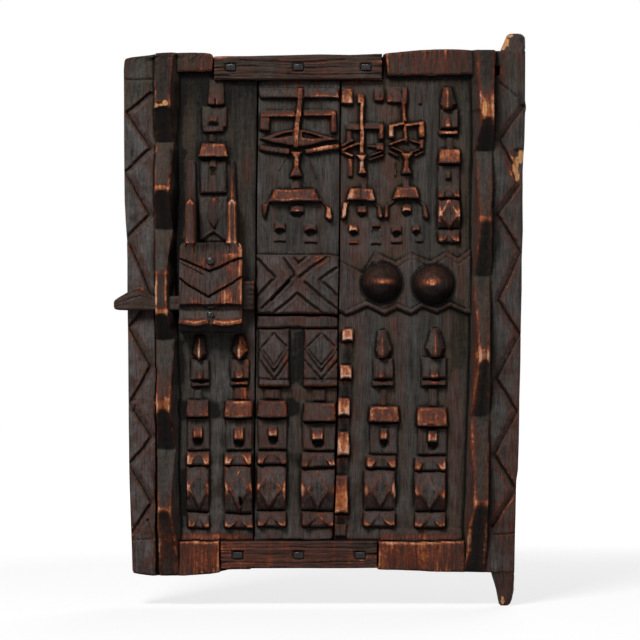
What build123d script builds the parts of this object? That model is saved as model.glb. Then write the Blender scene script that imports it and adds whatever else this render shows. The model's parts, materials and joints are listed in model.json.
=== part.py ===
from build123d import *
import os
from math import radians, tan

os.makedirs("parts", exist_ok=True)

# Dogon granary door. +Z up, +X right, carved face towards -Y.
# The origin is the middle of the lower pivot, on the axis the leaf turns about.
# From its foot up the leaf has a foot band, a lower field, a middle band, an upper field and a head band.

# ---- leaf and planks ----
leaf_foot = 30.0
foot_band_tall = 43.5
lower_field_tall = 293.5
middle_band_tall = 78.0
upper_field_tall = 226.0
head_band_tall = 33.0
pivot_lean = 1.0
plank_thickness = 24.0
plank_gap = 0.4
left_plank_top = 174.0
left_plank_bottom = 157.0
middle_plank_top = 107.5
middle_plank_bottom = 103.5
right_plank_top = 241.0
right_plank_bottom = 236.0
end_swell = 5.0
corner_round = 4.0

# ---- borders, rims and ribs carved from the planks; a tooth is its notch, fall and crest ----
leaf_height = foot_band_tall + lower_field_tall + middle_band_tall + upper_field_tall + head_band_tall
border_rise = 8.0
left_border_top = 39.5
left_border_bottom = 32.0
right_border_top = 40.0
right_border_bottom = 37.0
zigzag_inset = 5.0
zigzag_edge = 2.0
left_zigzag_teeth = 13
right_zigzag_teeth = 11
groove_width = 5.0
groove_depth = 2.6
fine_groove = 3.0
zigzag_end = 14.0
rim_rise = 11.0
rim_tall = 32.0
foot_notch = 4.5
rib_base = 29.5
rib_crest_width = 16.5
rib_valley = 11.0
rib_crest = 34.0
rib_end = 7.0
rib_head = 24.0
rib_foot_fall = 84.0
rib_fall = 50.0
rib_long_fall = 70.0
rib_crest_long = 6.0
rib_worn_crest = 32.0
rib_pitch = 114.0
rib_long_pitch = 182.0
bridge_fall = 35.0
bridge_cover = 21.0
edge_teeth = 5
edge_tooth_foot = 64.0
edge_tooth_headroom = 18.0
edge_tooth_fall = 19.0
edge_tooth_width = 11.0
edge_tooth_rise = 11.0
edge_tooth_root = 3.0

# ---- pivots ----
upper_pivot_radius = 13.0
upper_pivot_length = 26.0
upper_pivot_root = 10.0
lower_pivot_radius = 10.5
lower_pivot_length = 43.5
lower_pivot_root = 18.0
pivot_flare = 7.0
pivot_round = 2.5
pivot_sunk = 0.5

# ---- battens and staples ----
batten_thickness = 16.0
batten_let_in = 5.0
batten_tall = 31.0
top_batten_width = 218.0
bottom_batten_width = 204.0
batten_end_gap = 0.8
batten_edge = 1.5
top_batten_edge = 2.0
bottom_batten_edge = 6.5
bottom_batten_shift = 7.0
staple_inset = 22.0
staple_crown = 13.0
staple_wire = 2.4
staple_band = 8.0
staple_foot = 4.0
iron_fit = 0.08

# ---- lock ----
case_from_rib = 1.7
case_from_gap = 17.0
case_below_band = 25.0
case_floor = 29.0
case_roof = 10.0
case_depth = 41.0
case_top_depth = 36.0
case_channel_depth = 35.0
case_lip_depth = 44.0
case_foot_depth = 30.0
case_corner = 6.0
case_lip_height = 16.0
case_channel_tall = 17.0
chevrons = 2
chevron_inset = 19.0
chevron_drop = 18.0
chevron_step = 27.0
chevron_groove = 5.0
ear_width = 12.5
ear_tip_width = 7.0
ear_tall = 108.0
ear_shoulder = 56.0
ear_depth = 34.0
ear_tip_depth = 12.0
ear_inset = 8.0
ear_step = 6.0
bolt_tall = 19.5
bolt_thickness = 15.0
bolt_over_border = 1.0
bolt_head_long = 50.0
bolt_head_tall = 32.0
bolt_tail_tall = 39.0
bolt_tip_tall = 11.0
bolt_throw = 33.0
bolt_play = 0.5
bolt_rest_gap = 1.0
tumbler_radius = 1.8
tumbler_length = 28.0
tumbler_lift = 10.0
tumbler_fit = 0.06
tumbler_rest = 0.2
tumbler_bevel = 0.6
tumbler_step = 6.0
tumbler_end = 5.0
tumbler_depth = 12.0
tumbler_drop = 8.0
key_slot_tall = 4.0
key_slot_deep = 12.0
spike_half = 1.8
spike_head_radius = 5.2
spike_head_height = 3.5
spike_head_sides = 8
spike_grip = 16.0
spike_from_bolt = 6.0
spike_over_bolt = 25.0
spike_from_tumbler = 6.6

# ---- carved figures, their places counted from the nearest plank joint ----
left_outer_figure = 73.5
left_inner_figure = 21.0
left_outer_width = 28.5
left_inner_width = 36.5
middle_figure = 22.0
middle_figure_width = 35.0
right_inner_figure = 60.0
right_outer_figure = 124.0
right_figure_width = 37.0
upper_right_figure = 141.5
upper_right_width = 28.5
ear_clearance = 3.5
inner_dancer = 28.5
outer_dancer = 85.5
dancer_half_width = 25.0
dancer_margin = 3.7
figure_stand = 14.5
figure_headroom = 36.0
upper_stand = 17.0
upper_headroom = 15.0
dancer_headroom = 11.0
figure_rise = 9.0
shoulder_rise = 13.0
knob_rise = 15.0
foot_tall = 20.0
skirt_tall = 59.0
hip_tall = 13.0
chest_tall = 47.0
arm_tall = 22.0
neck_tall = 17.0
head_tall = 36.0
hat_tall = 27.0
carved_joint = 2.0
panel_rise = 8.0
panel_head_gap = 9.0
panel_head_tall = 74.0
breast_radius = 27.0
breast_height = 36.0
breast_spacing = 68.5
breast_tip = 2.5
breast_from_gap = 55.0
breast_band_width = 166.0
breast_band_rise = 5.0
breast_band_teeth = 5
breast_band_tooth = 10.0

# ---- derived places ----
leaf_top = leaf_foot + leaf_height
back_y = (plank_thickness + border_rise) / 2
floor_y = back_y - plank_thickness
lower_field = leaf_foot + foot_band_tall
middle_band = lower_field + lower_field_tall
upper_field = middle_band + middle_band_tall
head_band = upper_field + upper_field_tall
figure_tall = foot_tall + skirt_tall + hip_tall + chest_tall + arm_tall + neck_tall + head_tall + hat_tall + carved_joint


def between(low, high, z):
    """X on a straight edge that goes from low at the foot to high at the top of the leaf."""
    return low + (high - low) * (z - leaf_foot) / leaf_height


def pivot_x(z):
    """X of the turning axis, which leans a little."""
    return z * tan(radians(pivot_lean))


def right_side(z):
    return between(pivot_x(leaf_foot) + lower_pivot_radius, pivot_x(leaf_top) + upper_pivot_radius, z)


def second_gap(z):
    return right_side(z) - between(right_plank_bottom, right_plank_top, z)


def first_gap(z):
    return second_gap(z) - between(middle_plank_bottom, middle_plank_top, z)


def left_side(z):
    return first_gap(z) - between(left_plank_bottom, left_plank_top, z)


def face(height):
    """Plane in front of the carved floor, its X along the leaf and its Y up."""
    return Plane(origin=(0, floor_y - height, 0), x_dir=(1, 0, 0), z_dir=(0, -1, 0))


def side(x):
    """Plane across the leaf at x: its X is up, its Y is out of the carved floor."""
    return Plane(origin=(x, floor_y, 0), x_dir=(0, 0, 1), z_dir=(1, 0, 0))


def raised(points, rise, start=0.0, taper=0.0):
    """Block with the outline points that stands from start to start + rise over the floor."""
    with BuildSketch(face(start)) as outline:
        with BuildLine():
            Polyline(*points, close=True)
        make_face()
    return extrude(outline.sketch, amount=rise, taper=taper, mode=Mode.PRIVATE)


def box(x0, x1, z0, z1, rise, start=0.0):
    return raised([(x0, z0), (x1, z0), (x1, z1), (x0, z1)], rise, start)


def groove(start, end, surface, width=groove_width, depth=groove_depth):
    """Wedge that cuts a V along a straight line between two points of the leaf's face."""
    run = Vector(end[0] - start[0], 0, end[1] - start[1])
    across = Vector(0, 1, 0).cross(run)
    plane = Plane(origin=(start[0], floor_y - surface, start[1]), x_dir=across, z_dir=run)
    with BuildSketch(plane) as section:
        with BuildLine():
            Polyline((-width / 2, 0), (-width / 2, -1), (width / 2, -1), (width / 2, 0), (0, depth), close=True)
        make_face()
    return extrude(section.sketch, amount=run.length, mode=Mode.PRIVATE)


def grooves(points, surface, width=groove_width, depth=groove_depth):
    return [groove(start, end, surface, width, depth) for start, end in zip(points, points[1:])]


def zigzag(first, second, low, high, legs):
    """Turning points of a zigzag between two leaning edges, from low to high."""
    heights = [low + (high - low) * turn / legs for turn in range(legs + 1)]
    return [((first, second)[turn % 2](z), z) for turn, z in enumerate(heights)]


def square_hole(x, z, start, end):
    """Cutter for the square hole of a spike, between two heights over the floor."""
    reach = spike_half + iron_fit
    return box(x - reach, x + reach, z - reach, z + reach, end - start, start)


def rib(foot_x, head_x, inward, teeth):
    """Toothed rib: its side view runs along the line of its outer wall, and its inner wall slopes."""
    lean = Vector(head_x - foot_x, 0, leaf_height)
    across = Vector(0, 1, 0).cross(lean)
    profile = [(0, 0), (0, rib_end)]
    for notch, fall, crest in teeth:
        if notch > 0:
            profile.append((notch, rib_valley))
        profile += [(notch + fall, rib_crest), (notch + fall + crest, rib_crest)]
    profile += [(leaf_height - 1, rib_head), (leaf_height - 1, 0)]
    with BuildPart() as ridge:
        with BuildSketch(Plane(origin=(foot_x, floor_y, leaf_foot), x_dir=lean, z_dir=across)):
            with BuildLine():
                Polyline(*profile, close=True)
            make_face()
        extrude(amount=inward * rib_base)
        with BuildSketch(Plane(origin=(foot_x, floor_y, leaf_foot), x_dir=across, z_dir=lean)):
            with BuildLine():
                Polyline((0, 0), (inward * rib_base, 0), (inward * rib_crest_width, -rib_crest), (0, -rib_crest),
                         close=True)
            make_face()
        extrude(amount=lean.length, mode=Mode.INTERSECT)
    return ridge.part


# ---- carving shared by the planks ----
def slab(left_edge, right_edge):
    """Plank without its relief, between two leaning edges."""
    corners = [(left_edge(leaf_foot), leaf_foot), (right_edge(leaf_foot), leaf_foot),
               (right_edge(leaf_top), leaf_top), (left_edge(leaf_top), leaf_top)]
    return raised(corners, plank_thickness, -plank_thickness)


def border(left_edge, right_edge):
    """Raised border between two leaning edges, over the whole height of the leaf."""
    corners = [(left_edge(leaf_foot), leaf_foot), (right_edge(leaf_foot), leaf_foot),
               (right_edge(leaf_top), leaf_top), (left_edge(leaf_top), leaf_top)]
    return raised(corners, border_rise)


def swell(x0, x1, z, bulge):
    """Rounded end of a plank, as far in front as its border."""
    with BuildSketch(face(-plank_thickness)) as end:
        with BuildLine():
            Line((x0, z), (x1, z))
            ThreePointArc((x1, z), ((x0 + x1) / 2, z + bulge), (x0, z))
        make_face()
    return extrude(end.sketch, amount=plank_thickness + border_rise, mode=Mode.PRIVATE)


def batten_seats():
    """Cutters for the housings of both battens and for the notch under the lower one."""
    (top_left, top_right), top_low, top_high = batten_places[0]
    (foot_left, foot_right), foot_low, foot_high = batten_places[1]
    deep = batten_let_in + rim_rise + 1
    gap = batten_end_gap
    return [box(top_left - gap, top_right + gap, top_low - gap, leaf_top + end_swell, deep, -batten_let_in),
            box(foot_left - gap, foot_right + gap, leaf_foot - end_swell, foot_high + gap, deep, -batten_let_in),
            box(foot_left - gap, foot_right + gap, leaf_foot - end_swell, leaf_foot + foot_notch,
                plank_thickness, -plank_thickness - 1)]


def body(x, width, foot, stretch):
    """Standing figure from its feet to its neck: its blocks, its cuts and the height of its chin."""
    half = width / 2
    levels = [foot]
    for part_tall in (foot_tall, skirt_tall, hip_tall, chest_tall, arm_tall, neck_tall):
        levels.append(levels[-1] + part_tall * stretch)
    feet, skirt, hips, chest, arms, neck, chin = levels
    waist = (skirt + hips) / 2
    knob_foot = chest + (arms - chest) * 0.4
    blocks = [box(x - half, x + half, feet, skirt - carved_joint, figure_rise),
              box(x - half, x + half, skirt, hips - carved_joint, figure_rise - 3),
              raised([(x, skirt), (x + half - 1, waist), (x, hips - carved_joint), (x - half + 1, waist)],
                     figure_rise - 2, figure_rise - 3, taper=35),
              box(x - half * 0.9, x + half * 0.9, chest, arms - carved_joint, figure_rise - 2),
              box(x - half * 0.36, x + half * 0.36, knob_foot, knob_foot + (arms - chest) * 0.26, knob_rise),
              raised([(x - half, arms), (x + half, arms), (x + half * 0.88, neck), (x - half * 0.88, neck)],
                     shoulder_rise),
              box(x - half * 0.38, x + half * 0.38, neck, chin, figure_rise - 2)]
    for hand in (-1, 1):
        blocks.append(raised([(x + hand * half * 0.55, hips), (x + hand * half, hips), (x + hand * half, chest),
                              (x + hand * half * 0.35, chest)], figure_rise + 2))
    cuts = grooves([(x - half, skirt - carved_joint), (x, feet + carved_joint), (x + half, skirt - carved_joint)],
                   figure_rise)
    return blocks, cuts, chin


def plain_head(x, width, chin, stretch):
    """Long head with a jutting chin, a nose and a pointed cap."""
    half = width * 0.35
    tall = head_tall * stretch
    lip = chin + tall * 0.16
    cap = chin + tall + carved_joint
    cap_top = cap + hat_tall * stretch
    return [box(x - half, x + half, lip, chin + tall, figure_rise),
            raised([(x - half * 0.85, chin), (x + half * 0.85, chin), (x + half, lip), (x - half, lip)],
                   shoulder_rise),
            box(x - half * 0.3, x + half * 0.3, lip + tall * 0.1, lip + tall * 0.36, knob_rise - 1),
            raised([(x, cap), (x + half * 0.75, cap + 5), (x + half * 0.25, cap_top), (x - half * 0.25, cap_top),
                    (x - half * 0.75, cap + 5)], shoulder_rise, taper=8)]


def figure(x, width, foot, top):
    """Figure with a plain head that fills the height from foot to top: its blocks and its cuts."""
    stretch = (top - foot) / figure_tall
    blocks, cuts, chin = body(x, width, foot, stretch)
    return blocks + plain_head(x, width, chin, stretch), cuts


def panel_figure(x, width, foot, top, stretch):
    """Figure whose head is a square panel, cut with a rhombus over nested chevrons."""
    blocks, cuts, chin = body(x, width, foot, stretch)
    half = width / 2
    low = top - panel_head_tall
    edge = half * 0.83
    blocks += [box(x - half, x + half, chin, low, shoulder_rise - carved_joint),
               box(x - half, x + half, low, top, panel_rise)]
    for waist in (low + panel_head_tall * 0.6, low + panel_head_tall * 0.45):
        cuts += grooves([(x - edge, waist), (x, waist - panel_head_tall * 0.3), (x + edge, waist)], panel_rise,
                        fine_groove)
    waist = low + panel_head_tall * 0.66
    cuts += grooves([(x - edge, waist), (x, top - fine_groove), (x + edge, waist)], panel_rise, fine_groove)
    return blocks, cuts


def dancer(x, half, foot, crown):
    """Masked dancer: barred cross over a rhombus face, a stem of a mouth, broad shoulders and bent arms."""
    tall = crown - foot
    bar = half * 0.12 + tall * 0.01
    stem = half * 0.08 + tall * 0.008
    rise = figure_rise

    def level(share):
        return foot + tall * share

    brow, mouth, yoke = level(0.773), level(0.525), level(0.283)
    blocks = [box(x - bar, x + bar, level(0.611), level(0.94), rise + 2),
              box(x - half, x + half, brow, brow + bar, rise),
              raised([(x - stem * 2.4, mouth), (x + stem * 2.4, mouth), (x + stem, level(0.48)),
                      (x + stem, level(0.404)), (x + stem * 2.2, level(0.359)), (x - stem * 2.2, level(0.359)),
                      (x - stem, level(0.404)), (x - stem, level(0.48))], shoulder_rise),
              box(x - stem * 1.8, x + stem * 1.8, yoke, level(0.359), rise - 3),
              raised([(x - half * 0.65, yoke), (x + half * 0.65, yoke), (x + half * 0.72, level(0.197)),
                      (x - half * 0.72, level(0.197))], shoulder_rise),
              box(x - bar * 1.1, x + bar * 1.1, level(0.116), level(0.152), knob_rise - 2)]
    for hand in (-1, 1):
        tip = x + hand * half
        inner = tip - hand * bar * 2
        shoulder = x + hand * half * 0.72
        elbow = shoulder - hand * bar * 1.4
        leg = x + hand * half * 0.45
        blocks += [box(min(tip, x + hand * bar), max(tip, x + hand * bar), level(0.919), crown, rise - 2),
                   raised([(tip, level(0.702)), (tip - hand * bar, level(0.702)), (tip - hand * bar, brow + bar / 2),
                           (tip, brow + bar / 2)], rise),
                   raised([(tip, level(0.647)), (x, level(0.717)), (x, level(0.687)), (inner, level(0.647))], rise),
                   raised([(tip, level(0.647)), (x, level(0.571)), (x, level(0.601)), (inner, level(0.647))], rise),
                   raised([(tip, level(0.616)), (tip, level(0.581)), (x + hand * bar, level(0.53)),
                           (x + hand * bar, level(0.556))], rise),
                   raised([(shoulder, level(0.202)), (elbow, level(0.202)), (elbow, level(0.101)),
                           (shoulder, level(0.091))], rise),
                   box(leg - bar, leg + bar, level(0.03), level(0.071), knob_rise - 2),
                   box(leg - bar, leg + bar, foot - tall * 0.02, level(0.03), rise - 4)]
    return blocks


def crossed_panel(left_edge, right_edge, low, high):
    """Panel with a saltire of bands: two nested chevrons cut into each of its four fields."""
    centre, level = (left_edge + right_edge) / 2, (low + high) / 2
    half, tall = centre - left_edge, level - low
    cuts = []
    for near in (0.16, 0.52):
        spread = 1 - near
        for hand in (-1, 1):
            end = centre + hand * half
            cuts += grooves([(end, level + tall * spread), (centre + hand * half * near, level),
                             (end, level - tall * spread)], panel_rise)
            end = level + hand * tall
            cuts += grooves([(centre - half * spread, end), (centre, level + hand * tall * near),
                             (centre + half * spread, end)], panel_rise)
    return [box(left_edge, right_edge, low, high, panel_rise)], cuts


# ---- places of the battens, lock and bolt ----
def batten_ends(centre, width):
    return centre - width / 2, centre + width / 2


def middle_centre(z):
    return (first_gap(z) + second_gap(z)) / 2


top_batten_z = leaf_top - top_batten_edge - batten_tall
bottom_batten_z = leaf_foot + bottom_batten_edge
batten_places = (
    (batten_ends(middle_centre(leaf_top), top_batten_width), top_batten_z, top_batten_z + batten_tall),
    (batten_ends(middle_centre(leaf_foot) + bottom_batten_shift, bottom_batten_width),
     bottom_batten_z, bottom_batten_z + batten_tall),
)


rim_places = ((batten_places[0][0], leaf_top - rim_tall, leaf_top), (batten_places[1][0], leaf_foot, leaf_foot + rim_tall))
band_levels = (lower_field, head_band)


lower_foot = lower_field + figure_stand
lower_head = middle_band - figure_headroom
upper_foot = upper_field + upper_stand
upper_head = head_band - upper_headroom
dancer_crown = head_band - dancer_headroom


def left_rib_wall(z):
    return left_side(z) + between(left_border_bottom, left_border_top, z)


def right_rib_wall(z):
    return right_side(z) - between(right_border_bottom, right_border_top, z)


case_foot = middle_band - case_below_band
bolt_z = case_foot + case_floor
bolt_back = border_rise + bolt_over_border
bolt_front = bolt_back + bolt_thickness
rib_wall_x = left_rib_wall(bolt_z)
tail_left = rib_wall_x + rib_base + bolt_play + bolt_throw
tail_right = first_gap(bolt_z) - bolt_rest_gap
case_left = rib_wall_x + rib_base + case_from_rib
case_right = first_gap(bolt_z) - case_from_gap
case_width = case_right - case_left
case_centre = (case_left + case_right) / 2
tumbler_x = [tail_right - tumbler_end - bolt_throw - place * tumbler_step for place in (2, 1, 0)]
spike_x = tumbler_x[0] - spike_from_tumbler
tail_top = bolt_z + bolt_tail_tall
tunnel_top = tail_top + bolt_play
case_top = tunnel_top + tumbler_length + tumbler_lift + case_roof
bridge_notch = bolt_z - leaf_foot - bridge_fall - carved_joint
left_rib_teeth = (
    (0, rib_foot_fall, rib_crest_long),
    (bridge_notch - rib_pitch * 1.25, rib_fall, rib_crest_long),
    (bridge_notch, bridge_fall, bolt_head_tall + bridge_cover),
    (leaf_height - 2 * rib_pitch, rib_fall, rib_crest_long),
    (leaf_height - rib_pitch, rib_fall - rib_crest_long, rib_crest_long),
)
right_rib_teeth = (
    (0, rib_foot_fall, rib_crest_long * 2),
    (rib_long_pitch * 1.1, rib_long_fall, rib_crest_long * 2),
    (rib_long_pitch * 2.1, rib_long_fall, rib_crest_long),
    (rib_long_pitch * 3, rib_fall - rib_crest_long * 2, rib_worn_crest),
)


def staple(x, z, fit=0.0):
    """Iron staple through batten and plank, its feet turned in behind and hammered into the back."""
    wire = staple_wire + 2 * fit
    crown_y = floor_y - (batten_thickness - batten_let_in) - staple_wire / 2
    foot_y = back_y - staple_wire / 2
    reach = (staple_crown - staple_wire) / 2
    with BuildPart() as piece:
        with BuildSketch(Plane.XY.offset(z - staple_band / 2 - fit)):
            with BuildLine():
                Polyline((x - reach + staple_foot, foot_y), (x - reach, foot_y), (x - reach, crown_y),
                         (x + reach, crown_y), (x + reach, foot_y), (x + reach - staple_foot, foot_y))
            trace(line_width=wire)
        extrude(amount=staple_band + 2 * fit)
    return piece.part


staple_places = [(x, (low + high) / 2) for (x0, x1), low, high in batten_places
                 for x in (x0 + staple_inset, (x0 + x1) / 2, x1 - staple_inset)]
staple_holes = [staple(x, z, iron_fit) for x, z in staple_places]
staple_names = [f"{row_name}_{place}_staple" for row_name in ("top", "bottom") for place in ("left", "middle", "right")]
spike_places = (("lower_spike", bolt_z - spike_from_bolt), ("upper_spike", tail_top + spike_over_bolt))


# ---- left plank: border, bridge for the bolt, two figures below and one above ----
with BuildPart() as left_plank:
    add([slab(left_side, lambda z: first_gap(z) - plank_gap / 2), border(left_side, left_rib_wall)])
    fillet(left_plank.edges().filter_by(Axis.Y).sort_by(Axis.X)[:2], radius=corner_round)
    blocks = [swell(left_side(leaf_top) + corner_round, batten_places[0][0][0], leaf_top, end_swell),
              swell(left_side(leaf_foot) + corner_round, batten_places[1][0][0], leaf_foot, -end_swell),
              rib(left_rib_wall(leaf_foot), left_rib_wall(leaf_top), 1, left_rib_teeth)]
    for (x0, x1), low, high in rim_places:
        blocks.append(box(left_rib_wall(low) + rib_crest_width, x0, low, high, rim_rise))
    cuts = grooves(zigzag(lambda z: left_side(z) + zigzag_edge, lambda z: left_rib_wall(z) - zigzag_inset,
                          lower_field + zigzag_end, head_band - zigzag_end, left_zigzag_teeth), border_rise)
    cuts += [groove((left_side(z) - 1, z), (left_rib_wall(z), z), border_rise) for z in band_levels]
    figures = [figure(first_gap(lower_field) - from_gap, width, lower_foot, lower_head)
               for from_gap, width in ((left_outer_figure, left_outer_width), (left_inner_figure, left_inner_width))]
    ear_gap = case_width - 2 * (ear_inset + ear_width + ear_clearance)
    figures.append(figure(case_centre, ear_gap, case_top + ear_clearance, upper_head))
    for figure_blocks, figure_cuts in figures:
        blocks += figure_blocks
        cuts += figure_cuts
    add(blocks)
    tunnel = box(rib_wall_x - 1, rib_wall_x + rib_base + 1, bolt_z - bolt_play, bolt_z + bolt_head_tall + bolt_play,
                 bolt_thickness + 2 * bolt_play, bolt_back - bolt_play)
    cuts += [tunnel] + [square_hole(spike_x, z, -spike_grip, 0) for name, z in spike_places]
    add(cuts + batten_seats() + staple_holes[0::3], mode=Mode.SUBTRACT)

# ---- middle plank: dancer, crossed panel and two panel-headed figures ----
with BuildPart() as middle_plank:
    blocks, cuts = crossed_panel(first_gap(middle_band) + carved_joint, second_gap(middle_band) - carved_joint,
                                 middle_band, upper_field)
    stretch = (lower_head - lower_foot) / figure_tall
    for centre in (first_gap(lower_field) + middle_figure, second_gap(lower_field) - middle_figure):
        figure_blocks, figure_cuts = panel_figure(centre, middle_figure_width, lower_foot,
                                                  middle_band - panel_head_gap, stretch)
        blocks += figure_blocks
        cuts += figure_cuts
    add([slab(lambda z: first_gap(z) + plank_gap / 2, lambda z: second_gap(z) - plank_gap / 2)] + blocks
        + dancer(middle_centre(head_band), middle_plank_top / 2 - dancer_margin, upper_foot, dancer_crown))
    add(cuts + batten_seats() + staple_holes[1::3], mode=Mode.SUBTRACT)


def edge_saw():
    """Row of teeth along the joint edge of the right plank."""
    inset = plank_gap / 2 + carved_joint
    foot, head = second_gap(leaf_foot) + inset, second_gap(leaf_top) + inset
    lean = Vector(head - foot, 0, leaf_height)
    pitch = (middle_band - leaf_foot - edge_tooth_headroom - edge_tooth_foot) / edge_teeth
    level = edge_tooth_foot
    teeth = [(level, 0), (level, edge_tooth_root)]
    for tooth in range(edge_teeth):
        teeth += [(level + edge_tooth_fall, edge_tooth_rise), (level + pitch, edge_tooth_root)]
        level += pitch
    with BuildSketch(Plane(origin=(foot, floor_y, leaf_foot), x_dir=lean, z_dir=Vector(0, 1, 0).cross(lean))) as saw:
        with BuildLine():
            Polyline(*teeth, (level, 0), close=True)
        make_face()
    return extrude(saw.sketch, amount=edge_tooth_width, mode=Mode.PRIVATE)


def breast_band():
    """Band with toothed edges under two pointed breasts."""
    level = (middle_band + upper_field) / 2
    half = middle_band_tall / 2
    left = second_gap(level) + plank_gap / 2 + carved_joint
    step = breast_band_width / (2 * breast_band_teeth)
    steps = range(2 * breast_band_teeth + 1)
    top_edge = [(left + i * step, level + half - i % 2 * breast_band_tooth) for i in steps]
    bottom_edge = [(left + i * step, level - half + i % 2 * breast_band_tooth) for i in steps]
    blocks = [raised(top_edge + bottom_edge[::-1], breast_band_rise)]
    waist = (breast_radius * 0.62, breast_band_rise + (breast_height - breast_band_rise) * 0.54)
    for breast in range(2):
        x = second_gap(level) + breast_from_gap + breast * breast_spacing
        with BuildSketch(Plane(origin=(x, floor_y, level), x_dir=(1, 0, 0), z_dir=(0, 0, -1))) as profile:
            with BuildLine():
                Polyline((breast_tip, breast_height), (0, breast_height), (0, 0), (breast_radius, 0),
                         (breast_radius, breast_band_rise))
                ThreePointArc((breast_radius, breast_band_rise), waist, (breast_tip, breast_height))
            make_face()
        blocks.append(revolve(profile.sketch, axis=Axis((x, floor_y, level), (0, -1, 0)), mode=Mode.PRIVATE))
    return blocks


# ---- right plank: pivots, border, rib, edge teeth, breasts, dancers and figures ----
with BuildPart() as right_plank:
    blocks = [slab(lambda z: second_gap(z) + plank_gap / 2, right_side), border(right_rib_wall, right_side),
              swell(batten_places[0][0][1], right_side(leaf_top) - upper_pivot_radius * 2, leaf_top, end_swell),
              rib(right_rib_wall(leaf_foot), right_rib_wall(leaf_top), -1, right_rib_teeth)]
    for (x0, x1), low, high in rim_places:
        blocks.append(box(x1, right_rib_wall(low) - rib_crest_width, low, high, rim_rise))
    cuts = grooves(zigzag(lambda z: right_rib_wall(z) + zigzag_inset, lambda z: right_side(z) - zigzag_edge,
                          lower_field + zigzag_end, head_band - zigzag_end, right_zigzag_teeth), border_rise)
    cuts += [groove((right_rib_wall(z), z), (right_side(z) + 1, z), border_rise) for z in band_levels]
    figures = [figure(second_gap(lower_field) + from_gap, right_figure_width, lower_foot, lower_head)
               for from_gap in (right_inner_figure, right_outer_figure)]
    figures.append(figure(second_gap(upper_field) + upper_right_figure, upper_right_width, upper_foot, upper_head))
    for figure_blocks, figure_cuts in figures:
        blocks += figure_blocks
        cuts += figure_cuts
    for from_gap in (inner_dancer, outer_dancer):
        blocks += dancer(second_gap(head_band) + from_gap, dancer_half_width, upper_foot, dancer_crown)
    blocks += [edge_saw()] + breast_band()
    pivots = ((1, leaf_top, upper_pivot_root, upper_pivot_length, upper_pivot_radius),
              (-1, leaf_foot, lower_pivot_root, lower_pivot_length, lower_pivot_radius))
    slope = tan(radians(pivot_lean))
    for sign, foot, root, length, radius in pivots:
        neck = foot + sign * root
        tilt = radius * slope
        blocks.append(raised([(pivot_x(foot) - radius - pivot_flare, foot - sign), (pivot_x(neck) - radius, neck + tilt),
                              (pivot_x(neck) + radius, neck - tilt), (right_side(foot), foot - sign)],
                             plank_thickness + border_rise, -plank_thickness))
    add(blocks)
    add(cuts + batten_seats() + staple_holes[2::3], mode=Mode.SUBTRACT)
    for sign, foot, root, length, radius in pivots:
        base = foot + sign * (root - pivot_sunk)
        with BuildSketch(Plane(origin=(pivot_x(base), 0, base), z_dir=(sign * slope, 0, sign))):
            Circle(radius)
        extrude(amount=length - root + pivot_sunk)
        rim = right_plank.edges().filter_by(GeomType.CIRCLE).sort_by(Axis.Z)[-1 if sign > 0 else 0]
        chamfer(rim, length=pivot_round)

# ---- battens let into the plank ends, and their staples ----
battens = {}
for name, ((x0, x1), low, high) in zip(("top_batten", "bottom_batten"), batten_places):
    with BuildPart() as batten:
        add(box(x0, x1, low, high, batten_thickness, -batten_let_in))
        chamfer(batten.faces().sort_by(Axis.Y)[0].edges(), length=batten_edge)
        add(staple_holes[:3] if name == "top_batten" else staple_holes[3:], mode=Mode.SUBTRACT)
    battens[name] = batten.part
staples = {name: staple(x, z) for name, (x, z) in zip(staple_names, staple_places)}

# ---- lock case: chevrons over a channel and a worn lip, two ears on top ----
lip_top = case_foot + case_lip_height
channel_top = lip_top + case_channel_tall
with BuildPart() as ears:
    for inner, outer in ((case_left + ear_inset + ear_width, case_left + ear_inset),
                         (case_right - ear_inset - ear_width, case_right - ear_inset)):
        tip = outer + (inner - outer) * (1 - ear_tip_width / ear_width)
        shoulder = case_top + ear_shoulder
        add(raised([(outer, case_top - case_corner), (inner, case_top - case_corner), (inner, case_top + ear_tall),
                    (tip, case_top + ear_tall), (outer, shoulder)], ear_depth))
    with BuildSketch(side(case_left)):
        with BuildLine():
            Polyline((case_top - case_corner, 0), (case_top - case_corner, ear_depth), (case_top + ear_shoulder, ear_depth - 2),
                     (case_top + ear_shoulder + ear_step, ear_tip_depth + ear_step), (case_top + ear_tall, ear_tip_depth),
                     (case_top + ear_tall, 0), close=True)
        make_face()
    extrude(amount=case_width, mode=Mode.INTERSECT)

with BuildPart() as lock_case:
    with BuildSketch(side(case_left)):
        with BuildLine():
            Polyline((case_foot, 0), (case_foot, case_foot_depth), (case_foot + case_lip_height / 2, case_lip_depth),
                     (lip_top, case_lip_depth), (lip_top + 1, case_channel_depth), (channel_top - 2, case_channel_depth),
                     (channel_top, case_depth), (case_top, case_top_depth), (case_top, 0), close=True)
        make_face()
    extrude(amount=case_width)
    fillet(lock_case.edges().filter_by(Axis.Y).group_by(Axis.Z)[-1], radius=case_corner)
    add(ears.part)
    cuts = [box(case_left - 1, case_right + 1, bolt_z - bolt_play, tunnel_top, bolt_front + bolt_play + 1, -1)]
    for chevron in range(chevrons):
        crest = case_top - chevron_inset - chevron * chevron_step
        surface = case_depth - (crest - channel_top) / (case_top - channel_top) * (case_depth - case_top_depth) - 1
        cuts += grooves([(case_left - 1, crest), (case_centre, crest - chevron_drop), (case_right + 1, crest)],
                        surface, chevron_groove, chevron_groove * 0.6)
    for x in tumbler_x:
        with BuildSketch(Plane(origin=(x, floor_y - tumbler_depth, tunnel_top - 1))):
            Circle(tumbler_radius + tumbler_fit)
        extrude(amount=1 + tumbler_length + tumbler_lift + bolt_play, mode=Mode.SUBTRACT)
    cuts += [square_hole(spike_x, z, -1, case_lip_depth + 1) for name, z in spike_places]
    add(cuts, mode=Mode.SUBTRACT)

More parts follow.
